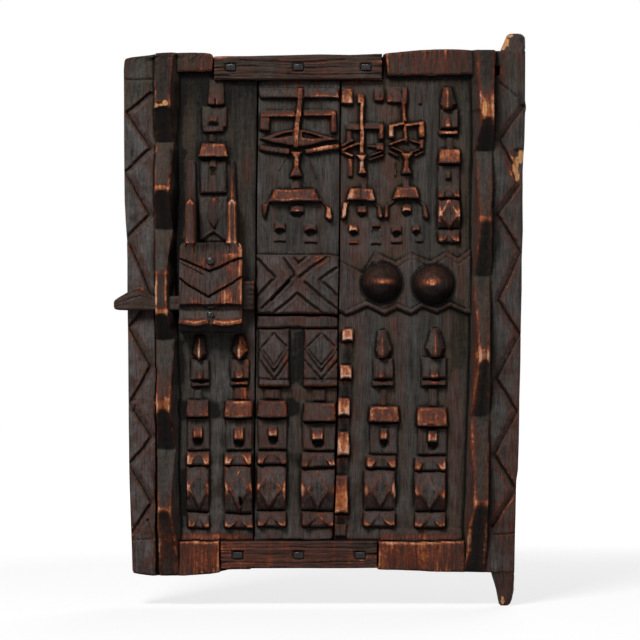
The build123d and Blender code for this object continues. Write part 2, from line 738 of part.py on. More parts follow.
# ---- bolt: beaked head, plain shank, tall tail with the tumbler holes over the key slot ----
head_left = rib_wall_x - bolt_play - bolt_head_long
shank_left = rib_wall_x - bolt_play
with BuildPart() as lock_bolt:
    with BuildSketch(face(bolt_back)):
        with BuildLine():
            beak = Polyline((shank_left, bolt_z + bolt_tall), (shank_left - bolt_head_long * 0.3, bolt_z + bolt_head_tall),
                            (shank_left - bolt_head_long * 0.68, bolt_z + bolt_head_tall * 0.72),
                            (head_left + 1, bolt_z + bolt_tip_tall))
            ThreePointArc(beak @ 1, (head_left, bolt_z + bolt_tip_tall / 2), (head_left + 1, bolt_z))
            Polyline((head_left + 1, bolt_z), (tail_right, bolt_z), (tail_right, tail_top), (tail_left, tail_top),
                     (tail_left, bolt_z + bolt_tall), (shank_left, bolt_z + bolt_tall))
        make_face()
    extrude(amount=bolt_thickness)
    add(box(tail_left, tail_right, bolt_z, tail_top, bolt_back - bolt_play, bolt_play))
    for x in tumbler_x:
        with BuildSketch(Plane(origin=(x + bolt_throw, floor_y - tumbler_depth, tail_top))):
            Circle(tumbler_radius + tumbler_fit)
        extrude(amount=-tumbler_drop - key_slot_tall, mode=Mode.SUBTRACT)
    key_top = tail_top - tumbler_drop
    add(box(tumbler_x[0] + bolt_throw - tumbler_step, tail_right + 1, key_top - key_slot_tall, key_top,
            key_slot_deep, tumbler_depth - key_slot_deep / 2), mode=Mode.SUBTRACT)

# ---- iron tumblers that stand on the bolt, and the spikes that hold the case ----
tumblers = {}
for name, x in zip(("left_tumbler", "middle_tumbler", "right_tumbler"), tumbler_x):
    with BuildPart() as tumbler:
        with BuildSketch(Plane(origin=(x, floor_y - tumbler_depth, tail_top + tumbler_rest))):
            Circle(tumbler_radius)
        extrude(amount=tumbler_length)
        chamfer(tumbler.faces().sort_by(Axis.Z)[0].edges(), length=tumbler_bevel)
    tumblers[name] = tumbler.part

spikes = {}
for (name, z), seat in zip(spike_places, (case_channel_depth, case_depth)):
    with BuildPart() as spike:
        add(box(spike_x - spike_half, spike_x + spike_half, z - spike_half, z + spike_half, spike_grip + seat, -spike_grip))
        with BuildSketch(face(seat)):
            with Locations((spike_x, z)):
                RegularPolygon(radius=spike_head_radius, side_count=spike_head_sides)
        extrude(amount=spike_head_height)
        chamfer(spike.faces().sort_by(Axis.Y)[0].edges(), length=spike_head_height * 0.4,
                length2=spike_head_radius * 0.4)
    spikes[name] = spike.part

planks = {"left_plank": left_plank.part, "middle_plank": middle_plank.part, "right_plank": right_plank.part}
lock = {"lock_case": lock_case.part, "lock_bolt": lock_bolt.part}
for name, piece in (planks | battens | staples | lock | tumblers | spikes).items():
    piece.label = name
    export_step(piece, f"parts/{name}.step")
    print(name, len(piece.solids()), "solid", round(piece.volume), "mm3")
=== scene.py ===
import bpy
import json
import math
import numpy as np
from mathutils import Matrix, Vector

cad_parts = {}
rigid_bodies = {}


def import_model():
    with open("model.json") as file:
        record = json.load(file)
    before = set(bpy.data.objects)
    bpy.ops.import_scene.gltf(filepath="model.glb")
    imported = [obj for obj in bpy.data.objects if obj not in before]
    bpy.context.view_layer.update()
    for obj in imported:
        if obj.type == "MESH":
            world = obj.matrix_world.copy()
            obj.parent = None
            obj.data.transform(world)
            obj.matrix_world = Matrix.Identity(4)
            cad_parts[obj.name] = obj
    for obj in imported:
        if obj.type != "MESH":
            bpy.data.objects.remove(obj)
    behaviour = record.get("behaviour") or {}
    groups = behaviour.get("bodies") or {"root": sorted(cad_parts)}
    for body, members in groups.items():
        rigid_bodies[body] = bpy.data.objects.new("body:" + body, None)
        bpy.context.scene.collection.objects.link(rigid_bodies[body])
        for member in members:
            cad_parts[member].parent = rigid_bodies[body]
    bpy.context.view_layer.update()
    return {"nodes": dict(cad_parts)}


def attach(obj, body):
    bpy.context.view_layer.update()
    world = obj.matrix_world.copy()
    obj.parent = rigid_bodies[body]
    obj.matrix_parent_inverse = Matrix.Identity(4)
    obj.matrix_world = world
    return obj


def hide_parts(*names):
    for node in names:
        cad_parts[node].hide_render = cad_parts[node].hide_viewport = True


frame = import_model()
print("frame loaded:", len(frame["nodes"]), "nodes")

# The carving is laid out on a drawing of squares, columns to the right and rows down.
# Heights are in millimetres over the carved floor.
square = 0.0013
axisColumn, axisRow = 506.3, 596.0      # place of the lower pivot on the drawing
floorY, backY = -0.008, 0.016
jointGap, rearGap = 0.85, 0.9           # squares cut back on each side of a joint, in front and behind


def acrossLeaf(column):
    return (column - axisColumn) * square


def upLeaf(row):
    return (axisRow - row) * square


def unit(x):
    return np.clip(x, 0, 1)


def bell(x):
    # e to the power of minus x squared
    return np.exp(-x ** 2)


def follow(x, places):
    # straight lines through (place, value) pairs
    return np.interp(x, *zip(*places))


def smooth(x):
    # 3 x^2 - 2 x^3 between 0 and 1
    x = unit(x)
    return x * x * (3 - 2 * x)


def blurred(field, rowSpread, columnSpread):
    # product of the field's spectrum and a Gaussian, after its edges are carried on
    pad = int(3 * max(rowSpread, columnSpread)) + 2
    wide = np.pad(field, pad, mode="edge")
    rowWave = np.fft.fftfreq(wide.shape[0])[:, None]
    columnWave = np.fft.rfftfreq(wide.shape[1])[None, :]
    kept = np.exp(-2 * math.pi ** 2 * ((rowWave * rowSpread) ** 2 + (columnWave * columnSpread) ** 2))
    soft = np.fft.irfft2(np.fft.rfft2(wide) * kept, s=wide.shape)
    return soft[pad:-pad, pad:-pad]


def softNoise(shape, rowSpread, columnSpread, seed):
    # random numbers blurred and brought back to a spread of 1
    field = blurred(np.random.default_rng(seed).standard_normal(shape), rowSpread, columnSpread)
    return field / max(field.std(), 1e-9)


def depthInside(column, row, corners):
    # least of the distances to the sides of a convex outline, positive inside
    turn = sum(a[0] * b[1] - b[0] * a[1] for a, b in zip(corners, corners[1:] + corners[:1]))
    turn = 1 if turn > 0 else -1
    depth = np.full(column.shape, 1e9)
    for (c0, r0), (c1, r1) in zip(corners, corners[1:] + corners[:1]):
        run = math.hypot(c1 - c0, r1 - r0)
        depth = np.minimum(depth, turn * ((c1 - c0) * (row - r0) - (r1 - r0) * (column - c0)) / run)
    return depth


def lineDistance(column, row, points):
    # distance to the nearest stretch of a polyline
    best = np.full(column.shape, 1e9)
    for (c0, r0), (c1, r1) in zip(points, points[1:]):
        run = (c1 - c0) ** 2 + (r1 - r0) ** 2
        along = unit(((column - c0) * (c1 - c0) + (row - r0) * (r1 - r0)) / run)
        best = np.minimum(best, np.hypot(column - c0 - along * (c1 - c0), row - r0 - along * (r1 - r0)))
    return best


def byRow(*places):
    # height that changes along the rows: (row, height) pairs
    rows, heights = zip(*places)
    return lambda column, row: np.interp(row, rows, heights)


def byColumn(*places):
    columns, heights = zip(*places)
    return lambda column, row: np.interp(column, columns, heights)


def squarish(angle, power):
    # both coordinates of a superellipse: sign of the cosine or sine times its size to a power
    return [np.sign(wave) * np.abs(wave) ** power for wave in (np.cos(angle), np.sin(angle))]


def steps(*stretches):
    # places from 0 to 1 in stretches of (share, cells)
    places = [np.zeros(1)]
    for share, cells in stretches:
        places.append(places[-1][-1] + share * np.arange(1, cells + 1) / cells)
    joined = np.concatenate(places)
    return joined / joined[-1]


def newMesh(name, points, faces, values=None, sharp=42):
    mesh = bpy.data.meshes.new(name)
    mesh.from_pydata(points, [], faces)
    for key, value in (values or {}).items():
        layer = mesh.attributes.new(key, "FLOAT", "POINT")
        layer.data.foreach_set("value", np.asarray(value, np.float32).ravel())
    mesh.polygons.foreach_set("use_smooth", np.ones(len(mesh.polygons), bool))
    mesh.set_sharp_from_angle(angle=math.radians(sharp))
    mesh.update()
    piece = bpy.data.objects.new(name, mesh)
    bpy.context.scene.collection.objects.link(piece)
    return piece


# hand-work on every carved piece: heights in millimetres, spreads in grid cells along the rows and columns
handWork = dict(
    wave=0.45, waveSpread=(12, 7), trackSpread=(9, 0.9), fuzz=0.4, nick=0.7, nickSpread=2.2, rimWide=1.6,
    near=1.3, wide=4.5, tallest=12, edgeWorn=0.6, broadWorn=4.0, broadShare=0.35, nearHollow=1.5,
    nearShare=0.75, wideHollow=5, wideShare=1.1, hewn=0.0003, rearDust=0.5, mostWorn=1.5)


class Relief:
    # A carved piece: point (s, t) of the grid lies s of the way from the left to the right edge
    # and t of the way from the top to the foot edge, and stands its height over the floor.
    def __init__(self, left, right, top, foot, columns, rows, seed, wander=0.28):
        self.edges = left, right, top, foot
        self.columns, self.rows, self.seed = columns, rows, seed
        self.trueColumn, self.trueRow = self.place(*np.meshgrid(columns, rows))
        # every outline wanders a little, as the knife does
        self.column = self.trueColumn + wander * softNoise(self.trueRow.shape, 6, 5, seed + 20)
        self.row = self.trueRow + wander * softNoise(self.trueRow.shape, 5, 6, seed + 21)
        self.height = np.zeros(self.column.shape)
        self.tone = np.zeros(self.column.shape)      # warm wear painted on, in places a painted highlight; negative for soot
        self.chip = np.zeros(self.column.shape)      # fresh pale wood
        self.paintedShadeAndSoot = np.zeros(self.column.shape)     # packed soot and painted shade
        self.plain = np.zeros(self.column.shape)     # share that hands leave alone
        self.dustAndPaintedLight = 0.25 * np.clip(softNoise(self.column.shape, 30, 4, seed + 22), 0, 2)
        self.tone += 0.13 * np.clip(softNoise(self.column.shape, 45, 1.6, seed + 23) - 0.5, 0, 1.6)

    def place(self, s, t, spread=(0.0, 0.0)):
        left, right, top, foot = self.edges
        r = np.mean([p[1] for p in top]) * (1 - t) + np.mean([p[1] for p in foot]) * t
        for repeat in range(3):
            low, high = follow(r, left) - spread[0], follow(r, right) + spread[1]
            c = low + s * (high - low)
            r = follow(c, top) * (1 - t) + follow(c, foot) * t
        return c, r

    def window(self, corners, pad=4.0):
        c, r = [p[0] for p in corners], [p[1] for p in corners]
        rows = np.flatnonzero((self.row.max(1) >= min(r) - pad) & (self.row.min(1) <= max(r) + pad))
        columns = np.flatnonzero((self.column.max(0) >= min(c) - pad) & (self.column.min(0) <= max(c) + pad))
        if not rows.size or not columns.size:
            return None
        return slice(rows[0], rows[-1] + 1), slice(columns[0], columns[-1] + 1)

    def block(self, corners, top, edge=1.5, worn=1.2, wornOver=2.2, sink=False):
        # inside a convex outline the surface goes to top, over a steep edge; worn rounds the rim of the top
        part = self.window(corners)
        if part is None:
            return
        c, r = self.column[part], self.row[part]
        inside = depthInside(c, r, corners)
        level = top(c, r) if callable(top) else np.full(c.shape, float(top))
        level = level - worn * (1 - unit(inside / wornOver)) ** 2
        cover = smooth((inside + 0.45) / edge)
        self.settle(part, level, cover, sink)

    def settle(self, part, level, cover, sink=False):
        # moves the surface towards a level over it, or under it with sink, by the share of the cover
        h = self.height[part]
        wanted = (level < h) if sink else (level > h)
        self.height[part] = np.where(wanted, h + (level - h) * cover, h)

    def bar(self, left, right, top, foot, height, **how):
        self.block([(left, top), (right, top), (right, foot), (left, foot)], height, **how)

    def ledge(self, left, right, top, foot, high, low=3.0, flare=0.0, arch=0.0, facet=1.5, facetWide=2.4,
              power=1.0):
        # ramp that climbs from low to high at its foot edge and drops there;
        # arch lifts the middle of the foot edge
        part = self.window([(left - flare, top), (right + flare, foot)])
        if part is None:
            return
        c, r = self.column[part], self.row[part]
        share = unit((r - top) / (foot - top))
        middle, half = (left + right) / 2, (right - left) / 2 + flare
        side = half - flare * (1 - share) - np.abs(c - middle)
        below = foot - arch * (1 - ((c - middle) / half) ** 2) - r
        level = low + (high - low) * share ** power - facet * (1 - unit(side / facetWide))
        level -= 0.9 * (1 - unit(below / 1.1)) ** 2
        cover = smooth((np.minimum(side, below) + 0.4) / 1.2) * smooth((r - top + 1.2) / 2.4)
        self.settle(part, level, cover)

    def band(self, points, wide, high, low=None):
        # raised strip along a polyline, lower along its upper side
        low = high - 1.5 if low is None else low
        for (c0, r0), (c1, r1) in zip(points, points[1:]):
            run = math.hypot(c1 - c0, r1 - r0)
            along = ((c1 - c0) / run, (r1 - r0) / run)
            across = (-along[1], along[0]) if along[0] > 0 else (along[1], -along[0])
            reach = wide * 0.3
            a = (c0 - along[0] * reach, r0 - along[1] * reach)
            b = (c1 + along[0] * reach, r1 + along[1] * reach)
            corners = [(a[0] - across[0] * wide / 2, a[1] - across[1] * wide / 2),
                       (b[0] - across[0] * wide / 2, b[1] - across[1] * wide / 2),
                       (b[0] + across[0] * wide / 2, b[1] + across[1] * wide / 2),
                       (a[0] + across[0] * wide / 2, a[1] + across[1] * wide / 2)]
            slope = (high - low) / wide
            tilted = lambda c, r: (high + low) / 2 + slope * ((c - c0) * across[0] + (r - r0) * across[1])
            self.block(corners, tilted, edge=1.2, worn=0.8, wornOver=1.4)

    def pit(self, corners, level, edge=1.3):
        # sinks the inside of an outline to a level
        self.block(corners, level, edge=edge, worn=0, sink=True)

    def groove(self, points, width=3.2, depth=2.4, lift=0.0):
        # V of the given width and depth along a line, with the raised lip that the knife leaves
        part = self.window(points, width + 3)
        if part is None:
            return
        away = lineDistance(self.column[part], self.row[part], points)
        self.height[part] -= depth * unit(1 - away / (width / 2))
        self.height[part] += lift * bell((away - width / 2 - 0.8) / 0.8)

    def dome(self, column, row, radius, places):
        # surface of revolution: (distance, height) pairs round a centre
        part = self.window([(column, row)], radius + 2)
        away = np.hypot(self.column[part] - column, self.row[part] - row)
        level = follow(away, places)
        self.height[part] = np.where(away < radius, np.maximum(self.height[part], level), self.height[part])

    def paint(self, column, row, wide, tall, amount, chip=False):
        # soft spot of warm wear (in places a painted highlight), of soot and painted shade where the amount is
        # negative, or of fresh wood
        spot = amount * np.exp(-((self.column - column) / wide) ** 2 - ((self.row - row) / tall) ** 2)
        if chip:
            self.chip = np.maximum(self.chip, spot)
        elif amount < 0:
            self.paintedShadeAndSoot -= spot
        else:
            self.tone += spot

    def shadeAndSootBox(self, left, right, top, foot, amount):
        # soot and painted shadow in a box with soft, uneven sides
        ragged = 1.6 * softNoise(self.column.shape, 5, 4, self.seed + 24)
        depth = np.minimum(np.minimum(self.column - left, right - self.column),
                           np.minimum(self.row - top, foot - self.row)) + ragged
        self.paintedShadeAndSoot += amount * smooth((depth + 3) / 8)

    def scoop(self, left, right, top, foot, level):
        # hollow, deepest under its top edge, that runs out at its foot
        part = self.window([(left, top), (right, foot)])
        if part is None:
            return
        c, r, h = self.column[part], self.row[part], self.height[part]
        share = unit((r - top) / (foot - top))
        side = np.minimum(np.minimum(c - left, right - c) - 0.25 * (right - left) * share ** 2, r - top)
        sunk = level + (h - level) * share ** 1.5
        self.settle(part, sunk, smooth((side + 0.4) / 1.6), sink=True)
        # painted shadow under the top edge, fading towards the foot
        self.paintedShadeAndSoot[part] += 1.3 * smooth(side / 2) * (1 - share ** 2)

    def handle(self, low, high, amount):
        # warmth on all that stands over the floor between two columns
        between = (self.column > low) & (self.column < high)
        share = np.interp(self.row, (240, 340), (1, 0.35)) * (1 - self.plain)
        self.tone += amount * between * share * unit((self.height - 3.5) / 5) * (self.height < 20)

    def finish(self, name, grain, rim=1.0, alongRows=True, back=backY, spread=(0, 0), backGrid=(90, 24)):
        # hand-work: long waves, tool tracks along the grain, rounded outer rim and chipped edges
        shape, seed = self.height.shape, self.seed
        work = handWork
        track = work["trackSpread"] if alongRows else work["trackSpread"][::-1]
        self.height += work["wave"] * softNoise(shape, *work["waveSpread"], seed)
        self.height += grain * softNoise(shape, *track, seed + 1)
        self.height += work["fuzz"] * grain * softNoise(shape, 0.8, 0.8, seed + 2)
        sharp = unit((self.height - blurred(self.height, 1.6, 1.6)) / 0.9)
        bitten = softNoise(shape, work["nickSpread"], work["nickSpread"], seed + 3)
        self.height -= work["nick"] * sharp * np.clip(bitten - 0.3, 0, 2)
        left, right, top, foot = self.edges
        c, r = self.trueColumn, self.trueRow
        gap = np.minimum(c - follow(r, left), follow(r, right) - c)
        end = np.minimum(r - follow(c, top), follow(c, foot) - r)
        self.height -= rim * (1 - unit(np.minimum(gap, end) / work["rimWide"])) ** 2
        near = blurred(self.height, work["near"], work["near"])
        wide = blurred(np.minimum(self.height, work["tallest"]), work["wide"], work["wide"])
        wear = unit((self.height - near) / work["edgeWorn"])
        wear = wear + work["broadShare"] * unit((self.height - wide) / work["broadWorn"])
        # hollows get soot and painted shade: creases and the floor beside raised forms, where less light
        # reaches, plus the painted shade and soot array
        hollow = work["nearShare"] * unit((near - self.height) / work["nearHollow"])
        hollow = hollow + work["wideShare"] * unit((wide - self.height) / work["wideHollow"]) + self.paintedShadeAndSoot
        # painted shade: faces that look down, which light from above leaves dark, are darkened; faces that
        # look up get negative values
        slope = np.gradient(blurred(self.height, 1.0, 0.7), axis=0)
        fall = -slope / np.gradient(self.trueRow, axis=0) / (1000 * square)
        self.downShade = unit((fall - 0.12) / 0.35) - unit((-fall - 0.1) / 0.4)
        return self.solid(name, np.clip(wear, 0, work["mostWorn"]), np.clip(hollow, 0, work["mostWorn"]),
                          back, spread, backGrid)

    def solid(self, name, wear, hollow, back, spread, backGrid):
        # front grid, coarser back grid and the walls stitched between their rims
        frontRows, frontColumns = self.height.shape
        front = np.stack([acrossLeaf(self.trueColumn), floorY - self.height / 1000, upLeaf(self.trueRow)], -1)
        front = front.reshape(-1, 3)
        backRows = self.rows[np.round(np.linspace(0, frontRows - 1, backGrid[0])).astype(int)]
        backColumns = self.columns[np.round(np.linspace(0, frontColumns - 1, backGrid[1])).astype(int)]
        c, r = self.place(*np.meshgrid(backColumns, backRows), spread=spread)
        hewn = handWork["hewn"] * np.abs(softNoise(c.shape, 2.5, 1.5, self.seed + 9))
        rearShape = c.shape
        level = back(c, r) if callable(back) else back
        rear = np.stack([acrossLeaf(c), level - hewn, upLeaf(r)], -1).reshape(-1, 3)
        count = frontRows * frontColumns
        f = np.arange(count).reshape(frontRows, frontColumns)
        b = count + np.arange(rearShape[0] * rearShape[1]).reshape(rearShape)
        quads = np.stack([f[:-1, :-1], f[1:, :-1], f[1:, 1:], f[:-1, 1:]], -1).reshape(-1, 4)
        rearQuads = np.stack([b[:-1, :-1], b[:-1, 1:], b[1:, 1:], b[1:, :-1]], -1).reshape(-1, 4)
        walls = [stitched(f[:, 0], b[:, 0]), stitched(f[-1], b[-1]), stitched(f[::-1, -1], b[::-1, -1]),
                 stitched(f[0, ::-1], b[0, ::-1])]
        faces = quads.tolist() + rearQuads.tolist() + np.concatenate(walls).tolist()
        rest, seam = np.zeros(len(rear)), np.zeros(rearShape)
        seam[:, 0] = seam[:, -1] = 1.0
        layers = dict(
            wear=(wear, rest), hollow=(hollow, seam), tone=(self.tone, rest), chip=(self.chip, rest),
            downShade=(self.downShade, rest), dustAndPaintedLight=(self.dustAndPaintedLight, rest + handWork["rearDust"]))
        values = {key: np.concatenate([near.ravel(), far.ravel()]) for key, (near, far) in layers.items()}
        return newMesh(name, np.concatenate([front, rear]).tolist(), faces, values)


def stitched(near, far):
    # wall between two rims with different numbers of points, as triangles
    share = np.round(np.arange(len(near)) * (len(far) - 1) / (len(near) - 1)).astype(int)
    fans = np.stack([near[1:], near[:-1], far[share[:-1]]], -1)
    step = np.flatnonzero(np.diff(share))
    fills = np.stack([near[step + 1], far[share[step]], far[share[step + 1]]], -1)
    return np.concatenate([fans, fills])


def tube(name, rings, values=None, sharp=40):
    # skin over closed rings of points, an array of (ring, point, 3); a middle point closes each end
    count, around = rings.shape[:2]
    index = np.arange(count * around).reshape(count, around)
    nextPoint = np.roll(index, -1, 1)
    faces = np.stack([index[:-1], nextPoint[:-1], nextPoint[1:], index[1:]], -1).reshape(-1, 4).tolist()
    points = rings.reshape(-1, 3)
    points = np.concatenate([points, rings[0].mean(0)[None], rings[-1].mean(0)[None]])
    first, last = count * around, count * around + 1
    faces += np.stack([nextPoint[0], index[0], np.full(around, first)], -1).tolist()
    faces += np.stack([index[-1], nextPoint[-1], np.full(around, last)], -1).tolist()
    if values is not None:
        values = {key: np.concatenate([np.asarray(value).ravel(), [0, 0]]) for key, value in values.items()}
    return newMesh(name, points.tolist(), faces, values, sharp)


def group(name, inputs, outputs):
    tree = bpy.data.node_groups.new(name, "ShaderNodeTree")
    for title, kind, value in inputs:
        socket = tree.interface.new_socket(title, in_out="INPUT", socket_type=kind)
        if value is not None:
            socket.default_value = value
    for title, kind in outputs:
        tree.interface.new_socket(title, in_out="OUTPUT", socket_type=kind)
    return tree, tree.nodes.new("NodeGroupInput"), tree.nodes.new("NodeGroupOutput")


class Wiring:
    # short names for the nodes of one tree
    def __init__(self, tree):
        self.tree = tree

    def node(self, kind, **settings):
        made = self.tree.nodes.new(kind)
        for key, value in settings.items():
            setattr(made, key, value)
        return made

    def link(self, source, target):
        self.tree.links.new(source, target)

    def fill(self, socket, value):
        if isinstance(value, bpy.types.NodeSocket):
            self.link(value, socket)
        else:
            socket.default_value = value

    def math(self, operation, *values, clamp=False):
        made = self.node("ShaderNodeMath", operation=operation, use_clamp=clamp)
        for socket, value in zip(made.inputs, values):
            self.fill(socket, value)
        return made.outputs[0]

    def mix(self, factor, first, second, blend="MIX"):
        made = self.node("ShaderNodeMix", data_type="RGBA", blend_type=blend)
        self.fill(made.inputs[0], factor)
        self.fill(made.inputs[6], first)
        self.fill(made.inputs[7], second)
        return made.outputs[2]

    def noise(self, vector, scale, detail=4.0, roughness=0.55):
        made = self.node("ShaderNodeTexNoise")
        self.link(vector, made.inputs["Vector"])
        self.fill(made.inputs["Scale"], scale)
        self.fill(made.inputs["Detail"], detail)
        self.fill(made.inputs["Roughness"], roughness)
        return made.outputs["Fac"]

    def stretch(self, vector, amount):
        made = self.node("ShaderNodeVectorMath", operation="MULTIPLY")
        self.link(vector, made.inputs[0])
        self.fill(made.inputs[1], amount)
        return made.outputs[0]

    def between(self, value, low, high, start=0.0, end=1.0):
        made = self.node("ShaderNodeMapRange", clamp=True)
        for socket, number in zip(made.inputs, (value, low, high, start, end)):
            self.fill(socket, number)
        return made.outputs[0]


def buildGrain():
    # fine fibres and broad streaks, both drawn out along the wood
    tree, ins, outs = group("woodGrain",
                            [("Place", "NodeSocketVector", None), ("Draw", "NodeSocketVector", (1, 1, 0.06)),
                             ("Fibre Scale", "NodeSocketFloat", 620.0),
                             ("Streak Scale", "NodeSocketFloat", 120.0)],
                            [("Fibre", "NodeSocketFloat"), ("Streak", "NodeSocketFloat"),
                             ("Cloud", "NodeSocketFloat")])
    w = Wiring(tree)
    drawn = w.stretch(ins.outputs["Place"], ins.outputs["Draw"])
    w.link(w.noise(drawn, ins.outputs["Fibre Scale"], 3.0, 0.6), outs.inputs["Fibre"])
    w.link(w.noise(drawn, ins.outputs["Streak Scale"], 5.0, 0.6), outs.inputs["Streak"])
    w.link(w.noise(drawn, 38.0, 4.0, 0.65), outs.inputs["Cloud"])
    return tree


def buildWear():
    # masks of worn edges, of painted highlights on them, of soot and painted shade in hollows and of fresh
    # chips, broken up by noise
    tree, ins, outs = group("handWear",
                            [("Place", "NodeSocketVector", None), ("Wear", "NodeSocketFloat", 0.0),
                             ("Hollow", "NodeSocketFloat", 0.0), ("Tone", "NodeSocketFloat", 0.0),
                             ("Chip", "NodeSocketFloat", 0.0), ("Patch Scale", "NodeSocketFloat", 160.0),
                             ("Warm Amount", "NodeSocketFloat", 1.0)],
                            [("Warm", "NodeSocketFloat"), ("Bright", "NodeSocketFloat"),
                             ("Soot And Shade", "NodeSocketFloat"), ("Fresh", "NodeSocketFloat")])
    w = Wiring(tree)
    patch = w.noise(ins.outputs["Place"], ins.outputs["Patch Scale"], 5.0, 0.65)
    broad = w.noise(ins.outputs["Place"], 30.0, 3.0, 0.5)
    uneven = w.between(broad, 0.35, 0.65, 0.35, 1.25)
    edge = w.math("MULTIPLY", ins.outputs["Wear"], uneven)
    # edges glow where hands have been (tone), and stay dull elsewhere
    share = w.math("MULTIPLY_ADD", ins.outputs["Tone"], 1.5, 0.22)
    warm = w.math("MULTIPLY", w.math("MULTIPLY", edge, ins.outputs["Warm Amount"]), share)
    warm = w.math("ADD", warm, w.math("MULTIPLY", ins.outputs["Tone"], 0.75))
    warm = w.math("MULTIPLY", warm, w.between(patch, 0.32, 0.62, 0.6, 1.2))
    w.link(w.math("MINIMUM", warm, 1.2), outs.inputs["Warm"])
    # painted highlight: pale glints on worn edges
    paintedGlint = w.math("MULTIPLY", w.math("MULTIPLY", edge, share), w.between(patch, 0.35, 0.7, 0.3, 1.3))
    w.link(w.between(paintedGlint, 0.54, 1.35), outs.inputs["Bright"])
    # soot and painted shade in hollows
    w.link(w.between(w.math("ADD", ins.outputs["Hollow"], w.between(patch, 0.3, 0.7, -0.15, 0.15)), 0.3, 1.0),
           outs.inputs["Soot And Shade"])
    w.link(w.between(w.math("ADD", ins.outputs["Chip"], w.between(patch, 0.3, 0.7, -0.25, 0.25)), 0.4, 0.6),
           outs.inputs["Fresh"])
    return tree


def buildDust():
    # pale grey, patchy, by the given amount: dust, and in places painted highlight and sheen
    tree, ins, outs = group("greyBloom",
                            [("Place", "NodeSocketVector", None),
                             ("Colour", "NodeSocketColor", (0.1, 0.1, 0.1, 1)),
                             ("Bloom", "NodeSocketColor", (0.12, 0.11, 0.105, 1)),
                             ("Amount", "NodeSocketFloat", 0.3)], [("Colour", "NodeSocketColor")])
    w = Wiring(tree)
    haze = w.between(w.noise(ins.outputs["Place"], 45.0, 6.0, 0.7), 0.38, 0.7)
    w.link(w.mix(w.math("MULTIPLY", haze, ins.outputs["Amount"]), ins.outputs["Colour"], ins.outputs["Bloom"]),
           outs.inputs["Colour"])
    return tree


grainGroup, wearGroup, dustGroup = buildGrain(), buildWear(), buildDust()


def blankMaterial(name):
    made = bpy.data.materials.new(name)
    made.use_nodes = True
    tree = made.node_tree
    tree.nodes.clear()
    return made, Wiring(tree)


def placed(w, tree, **values):
    made = w.node("ShaderNodeGroup", node_tree=tree)
    for key, value in values.items():
        w.fill(made.inputs[key], value)
    return made


def attribute(w, name):
    return w.node("ShaderNodeAttribute", attribute_name=name).outputs["Fac"]


def woodMaterial(name, look):
    made, w = blankMaterial(name)
    place = w.node("ShaderNodeTexCoord").outputs["Object"]
    grain = placed(w, grainGroup, Place=place, Draw=look["draw"], **{"Streak Scale": look["streakScale"]})
    wear = placed(w, wearGroup, Place=place, Wear=attribute(w, "wear"), Hollow=attribute(w, "hollow"),
                  Tone=attribute(w, "tone"), Chip=attribute(w, "chip"), **{"Warm Amount": look["warmAmount"]})
    fibre, streak, cloud = grain.outputs["Fibre"], grain.outputs["Streak"], grain.outputs["Cloud"]
    downShade, warm = attribute(w, "downShade"), wear.outputs["Warm"]
    # soot-dark wood with red patches and grey dust (in places painted light), then three steps of wear from
    # deep red to orange, a painted highlight, painted shade on faces that look down, and soot and painted
    # shade in hollows
    colour = w.mix(w.between(streak, 0.34, 0.64), look["dark"], look["body"])
    colour = w.mix(w.between(cloud, 0.47, 0.62, 0.0, look["redShare"]), colour, look["red"])
    amount = w.math("MULTIPLY_ADD", attribute(w, "dustAndPaintedLight"), 0.8, look["bloomAmount"])
    dustAndPaintedLight = placed(w, dustGroup, Place=place, Colour=colour, Bloom=look["bloom"], Amount=amount)
    warm = w.math("MULTIPLY", warm, w.between(streak, 0.3, 0.6, 0.75, 1.1))
    packed = w.math("MULTIPLY", w.between(attribute(w, "hollow"), 0.02, 0.35),
                    w.between(cloud, 0.4, 0.6, 0.2, 0.75))
    colour = w.mix(packed, dustAndPaintedLight.outputs["Colour"], look["dirt"])
    colour = w.mix(w.between(warm, 0.03, 0.36), colour, look["deep"])
    colour = w.mix(w.between(warm, 0.3, 0.66), colour, look["ember"])
    colour = w.mix(w.between(warm, 0.62, 1.05), colour, look["warm"])
    # painted highlight on worn edges
    colour = w.mix(w.math("MULTIPLY", wear.outputs["Bright"], 0.8), colour, look["bright"])
    # painted shade on faces that look down
    colour = w.mix(w.between(downShade, 0.1, 0.9, 0.0, 0.85), colour, look["shade"])
    # soot and painted shade in hollows
    colour = w.mix(w.math("MULTIPLY", wear.outputs["Soot And Shade"], look["sootAndShadeShare"]), colour, look["sootAndShade"])
    colour = w.mix(wear.outputs["Fresh"], colour, look["fresh"])
    colour = w.mix(w.between(fibre, 0.32, 0.56, 0.6, 0.0), colour, look["sootAndShade"])
    shader = w.node("ShaderNodeBsdfPrincipled")
    out = w.node("ShaderNodeOutputMaterial")
    w.link(colour, shader.inputs["Base Color"])
    rough = w.between(w.math("ADD", fibre, w.math("MULTIPLY", warm, -0.35)), 0.0, 0.8, look["gloss"],
                      look["dull"])
    w.link(rough, shader.inputs["Roughness"])
    shader.inputs["Specular IOR Level"].default_value = look["shine"]
    relief = w.math("ADD", w.math("MULTIPLY", fibre, 0.5), w.math("MULTIPLY", streak, 0.8))
    bump = w.node("ShaderNodeBump")
    bump.inputs["Strength"].default_value = look["bump"]
    bump.inputs["Distance"].default_value = 0.0008
    w.link(relief, bump.inputs["Height"])
    w.link(bump.outputs["Normal"], shader.inputs["Normal"])
    w.link(shader.outputs[0], out.inputs["Surface"])
    return made


